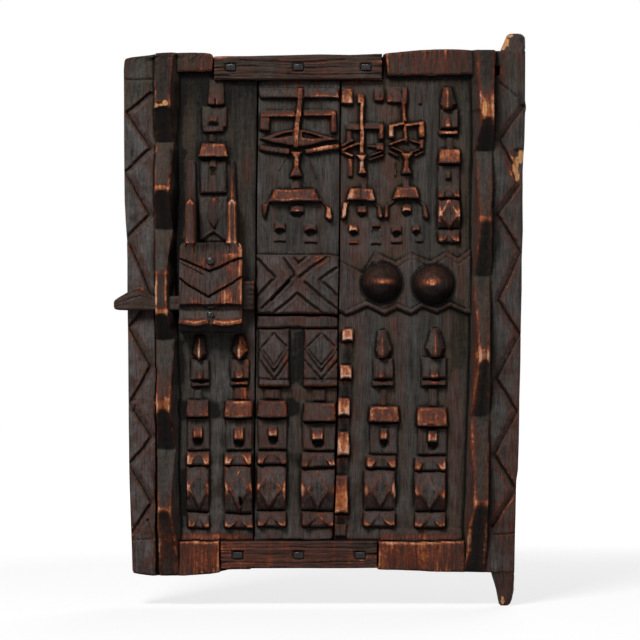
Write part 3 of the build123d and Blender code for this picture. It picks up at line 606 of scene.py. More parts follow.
plankLook = dict(
    draw=(1, 1, 0.06), streakScale=170.0, dark=(0.018, 0.0165, 0.015, 1), body=(0.06, 0.053, 0.0465, 1),
    red=(0.082, 0.032, 0.0235, 1), redShare=0.8, bloom=(0.118, 0.11, 0.107, 1), bloomAmount=0.35,
    dirt=(0.052, 0.043, 0.027, 1), deep=(0.068, 0.027, 0.0195, 1), ember=(0.165, 0.045, 0.024, 1),
    warm=(0.38, 0.115, 0.036, 1), bright=(0.72, 0.42, 0.31, 1), shade=(0.0125, 0.0062, 0.0055, 1),
    sootAndShade=(0.004, 0.0034, 0.003, 1), sootAndShadeShare=0.95, fresh=(0.6, 0.29, 0.12, 1), warmAmount=0.9, gloss=0.3,
    dull=0.8, bump=0.85, shine=0.07)
battenLook = dict(
    plankLook, draw=(0.05, 1, 1), streakScale=150.0, dark=(0.019, 0.014, 0.0115, 1),
    body=(0.056, 0.033, 0.025, 1), redShare=0.9, red=(0.095, 0.032, 0.017, 1), bloomAmount=0.1,
    warmAmount=0.7, bump=0.8)
lockLook = dict(
    plankLook, body=(0.055, 0.0465, 0.042, 1), bloomAmount=0.25, warmAmount=1.0, gloss=0.24, dull=0.7,
    shine=0.09)
breastLook = dict(
    plankLook, dark=(0.007, 0.0042, 0.0034, 1), body=(0.013, 0.0066, 0.0048, 1), redShare=0.3,
    bloomAmount=0.0, gloss=0.22, dull=0.5, bump=0.25, shine=0.11)
woods = dict(
    plank=woodMaterial("darkenedPlank", plankLook), batten=woodMaterial("darkenedBatten", battenLook),
    lock=woodMaterial("handledLock", lockLook), breast=woodMaterial("polishedBreast", breastLook))


def ironMaterial(name):
    look = dict(
        black=(0.006, 0.006, 0.0065, 1), scale=(0.021, 0.0205, 0.02, 1), rust=(0.03, 0.015, 0.01, 1),
        shine=0.27)
    made, w = blankMaterial(name)
    place = w.node("ShaderNodeTexCoord").outputs["Object"]
    pits = w.noise(place, 900.0, 5.0, 0.65)
    cloud = w.noise(place, 220.0, 4.0, 0.6)
    colour = w.mix(w.between(pits, 0.35, 0.65), look["black"], look["scale"])
    colour = w.mix(w.between(cloud, 0.5, 0.72, 0.0, 0.6), colour, look["rust"])
    shader = w.node("ShaderNodeBsdfPrincipled")
    out = w.node("ShaderNodeOutputMaterial")
    w.link(colour, shader.inputs["Base Color"])
    w.link(w.between(cloud, 0.4, 0.65, 0.2, 0.0), shader.inputs["Metallic"])
    w.link(w.between(pits, 0.3, 0.7, 0.1, 0.3), shader.inputs["Roughness"])
    shader.inputs["Specular IOR Level"].default_value = look["shine"]
    bump = w.node("ShaderNodeBump")
    bump.inputs["Strength"].default_value = 0.5
    bump.inputs["Distance"].default_value = 0.0006
    w.link(w.math("ADD", pits, w.math("MULTIPLY", cloud, 1.5)), bump.inputs["Height"])
    w.link(bump.outputs["Normal"], shader.inputs["Normal"])
    w.link(shader.outputs[0], out.inputs["Surface"])
    return made


iron = ironMaterial("forgedIron")
print("materials built")


def dress(piece, material, body, slot, *nodes):
    piece.data.materials.append(material)
    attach(piece, body)
    if nodes:
        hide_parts(*nodes)
    return piece


# the leaf's outline: (row, column) pairs at the sides and gaps, (column, row) pairs at the top and foot
outline = dict(
    left=[(57, 133), (57.4, 129.5), (58, 127.2), (59, 125.6), (60.5, 124.7), (63, 124.2), (70, 123.7),
        (100, 124), (150, 124), (170, 124.2), (200, 124.5), (220, 125.5), (240, 127), (260, 127.3),
        (290, 127.3), (340, 128), (400, 128.5), (465, 129), (490, 129.5), (510, 130.3), (530, 131),
        (550, 131.8), (570, 132.3), (573.5, 133.6)],
    firstGap=[(50, 258.2), (82, 258), (190, 256.5), (340, 255.5), (400, 255), (465, 254.3), (540, 253.5),
        (580, 253.2)],
    secondGap=[(50, 340.7), (80, 340.5), (200, 340), (260, 339.5), (320, 338), (380, 338), (400, 337.5),
        (470, 335.5), (520, 334), (541, 333), (580, 332.3)],
    right=[(50, 525.5), (100, 525), (106, 526), (109, 526), (113, 525.2), (140, 524.6), (170, 523),
        (200, 522.7), (230, 523), (260, 521.8), (290, 521.8), (320, 521), (360, 520.6), (400, 519.5),
        (440, 519), (470, 518), (480, 516.5), (500, 516), (530, 515.3), (560, 514.8), (575, 514.5)],
    top=[(120, 58), (130, 57.5), (150, 55), (155, 54), (170, 53.3), (190, 52.7), (205, 53), (210, 53.7),
        (212.3, 54.8), (213.4, 57.2), (382.4, 56.6), (383.3, 53.8), (385, 53.4), (400, 52), (420, 50),
        (440, 49.3), (460, 49.5), (480, 50.8), (500, 51), (530, 51.2)],
    foot=[(120, 570), (133, 573), (140, 574.5), (152, 576), (185, 575.5), (210, 574), (222, 572),
        (228, 570.5), (250, 570), (252, 568.6), (377, 568.6), (378, 569.5), (400, 570), (430, 571.5),
        (460, 572), (491, 572.5), (530, 573)])


def edges(look):
    return look["left"], look["right"], look["top"], look["foot"]


def inset(edge, amount):
    return [(row, column + amount) for row, column in edge]


def carve(relief, cuts):
    # carries out a list of cuts: name of the tool, its places and sizes, and its manner where it has one
    for tool, places, *manner in cuts:
        getattr(relief, tool)(*places, **dict(*manner))


housing = -5.2      # level of the seats cut for the battens, millimetres from the floor
plankGrain = 0.22   # depth of the tool tracks along a plank
borderHeight = 8    # height of the flat borders that the zigzag is cut into
endRim = 11         # height of the raised rims beside the battens
ribSlope = 3.4      # millimetres that a rib's inner face falls in one square


def carveRib(relief, wall, profile, hand, base):
    # rib height: the smaller of its toothed profile and of the slope down from its crest;
    # crests sag at both edges
    rows = [row for row, column in wall]
    part = relief.window([(column + hand * 12, row) for row, column in wall], 28)
    c, r = relief.column[part], relief.row[part]
    out, foot = hand * (c - follow(r, wall)), follow(r, base)
    crest = follow(r, profile)
    edge = unit(np.abs(2 * out / (foot - crest / ribSlope) - 1))
    crest = follow(r - 3.5 * edge ** 2 * unit((crest - 20) / 14), profile)
    level = np.minimum(crest, ribSlope * (foot - out))
    level = np.minimum(level, crest - 1.2 * (1 - unit(out / 1.6)) ** 2)
    cover = smooth((out + 0.5) / 1.3)
    relief.settle(part, level, cover)
    onFace = cover * (out < foot - crest / ribSlope + 1.5)
    # soot over the rib's faces, with painted shade added where the profile falls, on the faces that look down
    falling = unit(-np.gradient(follow(r, profile), axis=0) / np.gradient(r, axis=0) / 0.25)
    lastFall = smooth((r - 512) / 20) * (hand > 0)
    relief.paintedShadeAndSoot[part] += onFace * (0.42 + 0.5 * falling) * (1 - 0.6 * edge ** 2) * (1 - 0.7 * lastFall)
    relief.dustAndPaintedLight[part] *= 1 - 0.8 * onFace
    relief.tone[part] += onFace * (0.03 + 0.14 * edge ** 4) * unit((crest - 12) / 16)


def carveFigure(relief, figure):
    # standing figure from the head down; every part climbs to its foot edge and drops there
    if "hat" in figure:
        left, right, top, foot, ridge, tip = figure["hat"]
        blunt = figure.get("blunt", 1.6)
        corners = [(ridge - 4.0, top), (ridge + 3.8, top), (right, foot), (ridge + blunt, tip + 0.8),
                   (ridge - blunt, tip + 0.8), (left, foot)]

        def facets(c, r):
            # two facets meet in a narrow ridge and fall to half of its height at both sides
            flat, half = 0.6, np.interp(r, (top, foot), (4.0, (right - left) / 2))
            fallen = unit((np.abs(c - ridge) - flat) / (half - flat))
            return np.interp(r, (top, foot), (8, 15.5)) * (1 - 0.55 * fallen)

        relief.block(corners, facets, edge=1.1, worn=0.4)
        depth = depthInside(relief.column, relief.row, corners)
        onHat = depth > -1
        relief.plain = np.maximum(relief.plain, onHat)
        # grey dust and a painted highlight on the facet left of the ridge, which faces the light
        relief.dustAndPaintedLight += figure.get("dustAndHighlight", 0.2) * onHat * (relief.column < ridge + 1)
        share = unit((relief.row - top) / (tip - top))
        # painted highlight along the ridge, widening towards the foot
        crest = onHat * bell((relief.column - ridge) / (0.5 + 0.8 * share))
        relief.tone += figure.get("ridge", 0.9) * crest * smooth(3 * share)
        glow = figure.get("facet", 0.0) * onHat
        relief.tone += glow * smooth((relief.column - ridge + 0.5) / 1.5) * smooth(2.5 * share)
        relief.tone += 0.5 * onHat * bell(depth / 0.9) * (relief.row > foot - 1)
        relief.paintedShadeAndSoot += 0.3 * onHat * (1 - crest) * (relief.column < ridge) * ("dustAndHighlight" not in figure)
        # painted shadow under the tip of the hat
        relief.paint(ridge, tip + 3, 5, 2, -0.4)
    if "face" in figure:
        left, right, top, foot = figure["face"]
        middle, half = (left + right) / 2, (right - left) / 2
        relief.bar(left, right, top, foot, lambda c, r: 4.5 + 1.6 * unit(np.abs(c - middle) / half) ** 6 + 2.2
                   * (r - top) / (foot - top), worn=0.5)
    if "nose" in figure:
        left, right, top, foot = figure["nose"]
        relief.ledge(left, right, top - 6, foot, 14, 6, flare=0.8, facet=1.0)
        relief.paint((left + right) / 2, foot - 2, 3.5, 5, 0.35)
    if "chin" in figure:
        left, right, top, foot = figure["chin"]
        relief.pit([(left + 1, top - 3), (right - 1, top - 3), (right - 1, top), (left + 1, top)], 3.5,
                   edge=1.6)
        relief.ledge(left, right, top, foot, 11, 7.5, arch=0.8, facet=0.4)
    if "neck" in figure:
        relief.bar(*figure["neck"], 3.8, edge=2.4)
    if "shoulder" in figure:
        left, right, top, foot = figure["shoulder"]
        flare = figure.get("flare", 1.0)
        relief.ledge(left + flare, right - flare, top, foot, 14, 8, flare=flare, facet=2.6, facetWide=3.2)
        relief.paint((left + right) / 2, (top + foot) / 2, (right - left) / 2.1, 8, 0.26)
        # painted shadow under the shoulder's foot edge
        relief.paint((left + right) / 2, foot + 4, (right - left) / 2.4, 3, -0.5)
    if "torso" in figure:
        left, right, top, foot = figure["torso"]
        middle, half = (left + right) / 2, (right - left) / 2
        relief.bar(left, right, top, foot, lambda c, r: 4.2 + 1.3 * unit(np.abs(c - middle) / half) ** 8,
                   worn=0.4)
    if "knob" in figure:
        left, right, top, foot = figure["knob"]
        relief.ledge(left, right, top - 5, foot, 14, 6, arch=1.6, facet=-0.8, power=0.8)
        relief.scoop(left - 0.3, right + 0.3, foot - 1.5, foot + 9, -3.0)
        for side in (left + 1.2, right - 1.2):
            relief.paint(side, foot - 4, 2.2, 5, 0.34)
    domed = ((-1, 0), (-0.88, 0.42), (-0.5, 0.84), (0, 1), (0.5, 0.84), (0.88, 0.42), (1, 0))
    tented = ((-1, 0), (-0.7, 0.34), (-0.36, 0.66), (0, 1), (0.36, 0.66), (0.7, 0.34), (1, 0))
    for part, high, apex, shoulderWide, rises in (("hips", 12.5, 0.0, 4.4, domed),
                                                  ("base", 10.5, 1.5, 3.4, tented)):
        if part in figure:
            left, right, top, foot = figure[part]
            middle, reach = (left + right) / 2, (right - left) / 2 - shoulderWide
            relief.ledge(left, right, top, foot, high, 4.5, facet=0.8)
            tall = foot - top - apex
            arch = [(middle + share * reach, foot + 1.5 - rise * tall) for share, rise in rises]
            relief.pit(arch, 5.6, edge=2.6)
            rimLine = bell(depthInside(relief.column, relief.row, arch) / 0.8) * (relief.row < foot)
            relief.dustAndPaintedLight += 0.9 * rimLine
            relief.tone += 0.24 * rimLine
            for side in (left + 2.5, right - 2.5):
                relief.paint(side, foot - 2.5, 4, 4, 0.3)
    if "skirt" in figure:
        left, right, top, foot = figure["skirt"]
        middle, high, wideLeft, wideRight, waist, low = figure["diamond"]
        relief.bar(left, right, top, foot, byRow((top, 6.0), (waist - 2, 12), (waist + 2, 12), (foot, 4.0)),
                   worn=0.8)
        corners = [(middle, high - 1), (wideRight + 0.5, waist), (middle, low + 1.5), (wideLeft - 0.5, waist)]
        relief.block(corners, byRow((high, 8.6), (waist, 12.6), (low, 9.0)), edge=1.1, worn=0)
        relief.block([(middle, high + 3), (wideRight - 1.5, waist), (middle, low - 3),
                      (wideLeft + 1.5, waist)], lambda c, r: 10.6 - 0.25 * np.abs(c - middle), edge=4, worn=0,
                     sink=True)
        depth = depthInside(relief.column, relief.row, corners)
        for side in (left + 1.8, right - 1.8):
            relief.paint(side, waist + 1, 3.4, 5.5, figure.get("lobe", 0.7))
        relief.tone *= 1 - 0.85 * smooth(depth + 0.5)
        # raised rim round the diamond with a painted highlight on it; grey dust inside the diamond
        rimLine = bell(depth / 0.85)
        relief.height += 0.7 * rimLine
        relief.dustAndPaintedLight += 0.3 * (depth > 0) + 1.6 * rimLine
        relief.tone += 0.36 * rimLine


def carveKnob(relief, left, right, foot, high, arch, lipLow=None):
    # nub with an arched foot over a hollow, and the thin lip below it
    relief.ledge(left, right, foot - 9, foot, high, 1.0, flare=0.6, arch=arch, facet=0.8, power=0.8)
    relief.scoop(left + 0.2, right - 0.2, foot - 1.5, foot + 5, -2.2)
    relief.paint((left + right) / 2, foot - 2.5, 4, 2.5, 0.2)
    if lipLow:
        relief.ledge(left - 1.2, right + 1.4, lipLow - 4.5, lipLow, 5.0, 0.8, arch=0.7, facet=0.4)


def carveDancer(relief, dancer):
    # masked dancer: strips, ledges, flat shapes with their height, and nubs
    for points, wide, high in dancer["bands"]:
        relief.band(points, wide, high)
    for ledge in dancer["ledges"]:
        relief.ledge(*ledge)
    for corners, height in dancer["shapes"]:
        relief.block(corners, height, worn=1.4, edge=1.2, wornOver=1.8)
    for corners, level in dancer.get("pits", ()):
        relief.pit(corners, level)
    for knob in dancer["knobs"]:
        carveKnob(relief, *knob)


def carveBorder(relief, hand, vertices, edgeRows):
    # zigzag of cuts, each with a steep wall on its outer side and a long bevel towards the rib
    part = relief.window(vertices, 8)
    c, r = relief.column[part], relief.row[part]
    along = (r > vertices[0][1] - 1) & (r < vertices[-1][1] + 1)
    away = lineDistance(c, r, vertices)
    ribSide = hand * (c - np.interp(r, [p[1] for p in vertices], [p[0] for p in vertices])) > 0
    share = unit(1 - away / np.where(ribSide, 5.8, 1.5)) * along
    relief.height[part] -= 3.2 * share
    relief.height[part] += 0.35 * bell((away - np.where(ribSide, 6.0, 2.0)) / 0.8) * along
    relief.tone[part] += 0.26 * ribSide * smooth(2 * share)
    relief.dustAndPaintedLight[part] += 0.5 * along * bell((away - np.where(ribSide, 6.4, 2.2)) / 0.9)
    relief.tone[part] += 0.2 * along * bell((away - np.where(ribSide, 6.4, 2.2)) / 0.8)
    relief.paintedShadeAndSoot[part] += 0.3 * unit(1 - away / 1.6)
    for (outer, row0), (inner, row1) in edgeRows:
        relief.groove([(outer, row0), (inner, row1)], 2.4, 1.6)


# What the tables of the pieces hold. Outlines, ribWall and ribBase: (row, column) or (row, squares).
# ribProfile: (row, height). crestWear: (row, tall, amount). arrisWear: (column, row, tall, amount).
# wearAndHighlightSpots: (column, row, wide, tall, amount), warm wear and a few painted highlights. freshWood:
# (column, row, wide, tall).
# sootAndShade: (left, right, top, foot, amount), soot and painted shadows. post: top, bright and foot row of a
# step, left and right column.
# A part of a figure: (left, right, top, foot); its hat adds the column of the ridge and the row of the tip.
# diamond: (middle column, top row, left column, right column, waist row, foot row).

# left plank: zigzag border, toothed rib over the bolt, two figures below and one behind the lock
leftLook = dict(
    columns=steps((0.21, 30), (0.19, 30), (0.6, 88)), rows=steps((1, 560)), seed=11,
    ribWall=[(50, 154.5), (230, 155), (330, 156), (450, 157), (576, 158.5)],
    ribProfile=[(50, 22), (102, 34), (108, 33.5), (110.5, 30.5), (141, 12), (142, 11), (187, 34), (190.5, 34),
        (229.5, 11), (272, 34), (313.5, 34), (339.5, 11), (397, 34), (409, 33), (449.5, 11), (508, 34),
        (511, 33.5), (577, 6)],
    ribBase=[(50, 25), (106, 25.6), (142, 22.6), (190, 24.6), (230, 21.2), (313, 21.8), (397, 23.5),
        (450, 22), (508, 23.5), (574, 23)],
    border=[(150, 93), (127, 113), (150, 148), (125, 172), (149, 215), (127, 236), (152, 298), (129, 328),
        (150, 367), (129, 404), (151, 437), (129, 465), (151, 503), (132, 533)],
    borderCuts=[((123, 80.5), (153, 79.5)), ((123, 540), (154, 539.5))],
    nicks=[([(132, 401), (135, 399.5), (136, 405), (133, 411)], 2, 1.5), ([(148, 520), (134, 538)], 3, 2),
        ([(148, 520), (154, 538)], 3, 2)],
    crestWear=[(104, 4, 0.45), (189, 2.6, 0.75), (273, 2.5, 0.4), (311, 3, 0.8), (404, 6, 0.75),
        (509, 2.6, 0.7)],
    arrisWear=[(157.2, 293, 16, 0.9), (166.8, 291, 15, 0.6), (157.5, 403, 7, 0.7), (167, 402, 6, 0.5)],
    ends=[("bar", (176, 213.6, 50, 72.5, endRim), dict(worn=1.6)),
        ("bar", (179, 222, 541, 580, endRim), dict(worn=1.6)), ("ledge", (178, 220, 528, 541, 4.5, 0.5)),
        ("paint", (212, 537, 38, 3.5, 0.7)),
        ("pit", ([(213.3, 45), (262, 45), (262, 80.5), (213.3, 80.5)], housing)),
        ("pit", ([(219.8, 540.4), (262, 540.4), (262, 585), (219.8, 585)], housing))],
    hole=[("pit", ([(239.4, 497.5), (241.2, 499), (241.6, 505.5), (240, 506)], 2.0), dict(edge=0.8)),
        # the dark spot in the pit is painted shade
        ("paint", (240.5, 501.5, 1.4, 3.6, -1.6))],
    lockFigure=[("bar", (202, 227, 105.5, 128, byRow((105, 3), (128, 6.5))), dict(worn=0.6)),
        ("ledge", (208.5, 223.5, 79, 104.5, 11, 3, 0.8, -0.6, 2.2, 4.5)),
        ("groove", ([(214.8, 99), (214.8, 105)], 1.8, 5)),
        ("ledge", (209.5, 217.5, 115, 122.6, 12, 7, 0.0, 0.4, 0.8)),
        ("pit", ([(207, 123), (220, 123), (219, 127), (208, 127)], 3.5), dict(edge=2)),
        ("ledge", (202.5, 224, 127, 132, 8.5, 5.5)),
        ("pit", ([(213, 133), (217.5, 133), (217, 142), (214, 142)], 1.5)),
        ("bar", (200, 226.5, 159.5, 193.5, byRow((159, 3), (193, 5))), dict(worn=0.6)),
        ("ledge", (209, 216.5, 158, 168.5, 7.5, 4, 0.0, 1.5, 0.5)),
        ("pit", ([(209.8, 169), (215.8, 169), (215.8, 176), (209.8, 176)], 1.5), dict(edge=2)),
        ("bar", (199, 227.5, 196, 241, byRow((195, 2.5), (213, 5), (241, 3))), dict(worn=0.8)),
        ("block",
         ([(213.5, 197), (226.5, 207), (214, 229), (200, 207)], lambda c, r: 7.2 - 0.3 * np.abs(c - 213.7)),
         dict(edge=1.2, worn=0.3)), ("pit", ([(202, 241), (213.5, 232.5), (225, 241)], 1.5)),
        ("groove", ([(199, 239.5), (213.5, 230.5), (227, 240)], 2.0, -2.0))],
    wearAndHighlightSpots=[(243, 408, 10, 9, 0.34), (245, 393, 6, 7, 0.7), (246, 352, 7, 22, 0.35),
        (240, 436, 6, 8, 0.55), (190, 460, 4, 6, 0.6), (206, 460, 4, 6, 0.6), (228, 461, 4, 6, 0.6),
        (247, 460, 5, 6, 0.7), (200, 558, 24, 18, 0.7), (198, 435, 6, 8, 0.45), (247, 170, 5, 18, 0.4),
        (162, 385, 7, 16, 0.3), (164, 540, 9, 30, 0.25)],
    sootAndShade=[(210.5, 223, 399, 419, 1.1), (177, 185, 400, 420, 0.9), (178, 186, 470, 516, 0.7),
        (210, 224, 452, 466, 0.5), (210.5, 222, 474, 512, 0.25), (170, 184, 238, 330, 1.0),
        (171, 185, 150, 238, 1.0), (172, 186, 340, 385, 0.7), (184, 245, 333, 342, 0.6),
        (171, 181, 80, 150, 0.5), (176, 184, 520, 530, 0.4)],
    freshWood=[(157, 107, 3, 2.2), (166, 104.5, 3, 3.5), (161, 106.5, 3, 1.2), (156.5, 403, 2, 2.5)],
    handled=(180, 262, 0.2))
left = Relief(outline["left"], inset(outline["firstGap"], -jointGap), outline["top"], outline["foot"],
              leftLook["columns"], leftLook["rows"], leftLook["seed"])
left.height += borderHeight * smooth((156.5 - left.column) / 1.5)
# grey dust on the left border, partly a painted sheen
left.dustAndPaintedLight += 0.9 * (left.column < 155.5) * np.interp(left.row, (60, 190), (0.4, 1))
left.dustAndPaintedLight -= 0.42 * (left.column > 155.5) * np.interp(left.row, (200, 300), (1, 0))
carveBorder(left, 1, leftLook["border"], leftLook["borderCuts"])
for nick in leftLook["nicks"]:
    left.groove(*nick)
carveRib(left, leftLook["ribWall"], leftLook["ribProfile"], 1, leftLook["ribBase"])
for row, tall, amount in leftLook["crestWear"]:
    left.paint(162, row, 9, tall, amount)
for column, row, tall, amount in leftLook["arrisWear"]:
    left.paint(column, row, 1.3, tall, amount)
carve(left, leftLook["ends"])
leftFigures = dict(
    topFigure=dict(neck=(208, 216, 132.5, 143), shoulder=(198.5, 228, 143.5, 157.5), flare=2.5),
    outer=dict(hat=(192.8, 206.8, 336, 353.5, 199.3, 358.6), ridge=1.0, face=(191, 209.5, 359, 380.5),
        nose=(197.8, 203, 370, 379.5), chin=(192, 209, 383, 387), neck=(194, 203, 388.5, 400),
        shoulder=(185.8, 209.3, 400, 417.5), torso=(187.5, 209.5, 418, 450.5), knob=(193, 202.3, 431, 439.5),
        hips=(186.8, 209.3, 452, 465.5), skirt=(186.5, 209, 466.5, 511.5),
        diamond=(199.3, 471, 189.6, 208, 487.5, 508.5), base=(187.5, 209, 513.5, 528.5)),
    inner=dict(hat=(232, 247.8, 335, 351, 239, 358.4), ridge=0.7, facet=0.42, face=(230, 249, 359, 380),
        nose=(235.3, 242.5, 370, 379.8), chin=(230.5, 248, 382, 386), neck=(233, 247, 386.5, 400.5),
        shoulder=(224.3, 253, 401, 418), torso=(226, 252, 419, 450.5), knob=(233.8, 243.8, 431.5, 441.5),
        hips=(224.5, 252.5, 453, 465), skirt=(224.5, 252.5, 466, 513.5),
        diamond=(239, 471, 230.5, 247, 488, 511), base=(225, 252.5, 515, 528)))
for figure in leftFigures.values():
    carveFigure(left, figure)
carve(left, leftLook["hole"])
# dust that runs down between the two lower figures
streak = 0.8 * bell((left.column - 217.5) / 5)
left.dustAndPaintedLight += streak * smooth((left.row - 335) / 12) * smooth((532 - left.row) / 12)
# the figure behind the lock: cleft hat, wide mouth, and a pointed skirt over a roof, all in lower relief
carve(left, leftLook["lockFigure"])
left.handle(*leftLook["handled"])
# the floor is made darker on its low parts, most at the top
sooted = 0.5 * np.interp(left.row, (80, 210, 320), (1, 0.9, 0)) * (left.column > 168)
left.paintedShadeAndSoot += sooted * unit(1 - left.height / 5)
left.paintedShadeAndSoot += 0.4 * np.interp(left.row, (60, 90, 120), (1, 1, 0))
left.dustAndPaintedLight += 0.4 * np.interp(left.row, (450, 500), (0, 1)) * (left.column > 168)
for spot in leftLook["wearAndHighlightSpots"]:
    left.paint(*spot)
# painted light: a pale patch on the floor right of the lock case, where the case casts its shadow
left.dustAndPaintedLight += 1.2 * np.exp(-((left.column - 252) / 8) ** 2 - ((left.row - 325) / 16) ** 2)
# soot and painted shadows: beside the rib, between and beside the figures and under the lock case
for box in leftLook["sootAndShade"]:
    left.shadeAndSootBox(*box)
for column, row, wide, tall in leftLook["freshWood"]:
    left.paint(column, row, wide, tall, 1.0, chip=True)
leftPiece = dress(left.finish("carvedLeftPlank", plankGrain, spread=(0, rearGap)), woods["plank"], "leaf",
                  "plank_wood", "left_plank")
print("left plank carved")

# middle plank: dancer, crossed panel and two figures headed by panels
middleLook = dict(
    columns=steps((1, 84)), rows=steps((1, 560)), seed=23,
    crossedCuts=[[(256, 259), (275, 278), (256, 298)], [(281, 256), (294, 274)], [(294, 276), (262, 309)],
        [(291, 256), (298, 264), (308, 256)], [(300, 277), (327, 258)], [(305, 283), (338, 312)],
        [(337, 268), (320, 280), (337, 296)], [(276, 312), (297, 294), (321, 313)], [(290, 281), (272, 299)]],
    crossbar=[("bar", (256, 340, 316, 328, 5), dict(worn=0.6)),
        ("groove", ([(256, 315.3), (340, 315.3)], 2.4, 4))], panels=[(259, 289.5, 329), (304, 338.5, 329)],
    wearAndHighlightSpots=[(321, 385.5, 15, 1.3, 0.6), (274, 385.5, 15, 1.2, 0.45), (332, 360, 5, 17, 0.24),
        (285, 364, 4, 13, 0.2), (295, 195, 26, 8, 0.28), (296, 158, 5, 8, 0.3), (300, 395, 34, 5, 0.22),
        (325, 147, 14, 3, 0.5), (330, 120, 5, 10, 0.5), (275, 118, 14, 5, 0.3), (328, 213, 4, 9, 0.55),
        (322, 96, 14, 3, 0.4), (300, 114, 34, 3, 0.3), (298, 138, 34, 8, 0.12), (298, 128, 4, 16, 0.2),
        (320, 262, 9, 6, 0.3), (272, 435, 4, 4, 0.5), (317, 437, 5, 4, 0.5), (323, 518, 10, 8, 0.35),
        (297, 322, 30, 5, 0.2)],
    sootAndShade=[(288.5, 302.5, 399, 419, 1.1), (290.5, 303, 330, 386, 0.75), (287, 301, 452, 467, 0.6),
        (287, 300, 474, 512, 0.25), (337, 341, 400, 520, 0.25)],
    ends=[([(200, 45), (400, 45), (400, 80.5), (200, 80.5)], housing),
        ([(200, 540.4), (400, 540.4), (400, 585), (200, 585)], housing)], handled=(250, 345, 0.1),
    crossedPanel=(256, 340, 254.5, 314.5, 8.5), crossedKnife=(4.4, 3.3, 0.9))
middle = Relief(inset(outline["firstGap"], jointGap), inset(outline["secondGap"], -jointGap), outline["top"],
                outline["foot"], middleLook["columns"], middleLook["rows"], middleLook["seed"])
# crossed panel: flat panel with V grooves beside each band
middle.bar(*middleLook["crossedPanel"])
for line in middleLook["crossedCuts"]:
    middle.groove(line, *middleLook["crossedKnife"])
crossed = (middle.row > 254) & (middle.row < 315)
middle.paintedShadeAndSoot[crossed] -= 0.32
carve(middle, middleLook["crossbar"])
for left0, right0, top0 in middleLook["panels"]:
    centre0 = (left0 + right0) / 2
    middle.bar(left0, right0, top0, 387, 8.5, worn=1.0)
    middle.groove([(centre0, top0 + 4), (right0 - 2.5, 348), (centre0, 366), (left0 + 2.5, 348),
                   (centre0, top0 + 4)], 2.6, 2.6, 0.5)
    middle.groove([(left0 + 1, 350), (centre0, 372), (right0 - 1, 350)], 3.0, 3.0, 0.6)
    middle.groove([(left0 + 1, 361), (centre0 - 1, 379)], 3.0, 2.8, 0.6)
    middle.groove([(right0 - 1, 361), (centre0 + 1, 379)], 3.0, 2.8, 0.6)
    middle.groove([(left0, 379.5), (right0, 379.5)], 2.0, 2.6)
    middle.bar(left0 - 0.5, right0 + 0.5, 382, 387, 10, worn=1.2)
middleFigures = dict(
    leftOne=dict(neck=(264, 281, 388, 400), shoulder=(257, 287.5, 401, 418), torso=(258, 287, 419, 450),
        knob=(268.3, 277, 431, 438), hips=(257.5, 286.5, 452, 464.5), skirt=(256.5, 286, 466.5, 510.5),
        diamond=(269.3, 471.5, 258.5, 280, 488, 508), base=(257, 286, 512, 526.5)),
    rightOne=dict(neck=(312, 326, 388, 402), shoulder=(303, 336.5, 403, 422), torso=(303, 336, 423, 451),
        knob=(312, 323, 433, 441.5), hips=(301.3, 335.5, 453, 467), skirt=(301, 335.5, 469.5, 510.5),
        diamond=(317.5, 473, 308.5, 327, 490, 509), base=(302, 335, 512, 526.5)))
for figure in middleFigures.values():
    carveFigure(middle, figure)
middleDancer = dict(
    bands=[([(300.6, 90), (300, 101), (298, 116), (296, 130), (295.8, 147)], 5.4, 10.5),
        ([(261.5, 148), (288, 151.5)], 6.0, 8), ([(307, 151.3), (337, 146.3)], 5.4, 9),
        ([(288, 154), (278, 170)], 1.6, 3), ([(270, 199), (265, 208)], 2, 5),
        ([(320, 199), (327, 208)], 2, 5), ([(309, 159), (317, 178)], 1.6, 3),
        ([(262, 223), (267, 238)], 1.4, 2.4)],
    ledges=[(260, 298, 88, 98, 9, 3), (303.5, 339.6, 88, 98, 9, 3), (297, 304, 89, 99.5, 11, 6),
        (260, 295, 110, 117.2, 9.5, 3.5), (259.6, 269.6, 113, 130.8, 9, 6.5),
        (303, 336.5, 109.5, 116.7, 9.5, 3.5), (331, 336.6, 112, 133.4, 9.5, 8),
        (274, 315.5, 189, 202.3, 13.5, 7.5, 5.0, 0.5, 2.6, 4.0), (291, 300, 179, 188.5, 4.5, 3.5)],
    shapes=[([(259.5, 138.5), (276, 132), (290, 129.5), (303, 129.5), (320, 134), (338.5, 139.6),
              (320, 143.5), (301, 147), (288, 146), (270, 142)], byRow((129, 5.5), (148, 9))),
        ([(290, 151.5), (302.4, 151.5), (299, 158.8), (293.7, 158.8)], 12),
        ([(294, 156), (299, 156), (299, 170), (294, 170)], 11),
        ([(294.4, 167), (298.8, 167), (302.6, 177), (289.6, 177)], byRow((167, 10), (177, 13))),
        ([(262.5, 203), (269.5, 203.5), (265.5, 220), (264, 217)], 7),
        ([(326.3, 206), (330.5, 207), (332, 218.5), (329.6, 221.2), (325.6, 217.5)],
         byRow((206, 5), (221, 11)))],
    pits=[([(272, 137.8), (284, 133.2), (292.5, 132), (292.6, 136), (283, 137.2)], 0.5),
        ([(301.5, 132.2), (311, 134), (324, 138.6), (313, 138.8), (302, 138)], 0.5)],
    knobs=[(290.6, 303.6, 213.6, 10, 1.0), (275, 284.6, 230.8, 10, 2.6, 241.8),
        (305.2, 316.4, 232.5, 10.5, 2.8, 243)])
carveDancer(middle, middleDancer)
middle.handle(*middleLook["handled"])
middle.dustAndPaintedLight += 0.4 * np.interp(middle.row, (450, 500), (0, 1))
panels = (middle.row > 252) & (middle.row < 388)
middle.tone[panels] *= 0.45
for spot in middleLook["wearAndHighlightSpots"]:
    middle.paint(*spot)
middle.dustAndPaintedLight[panels] += 0.3
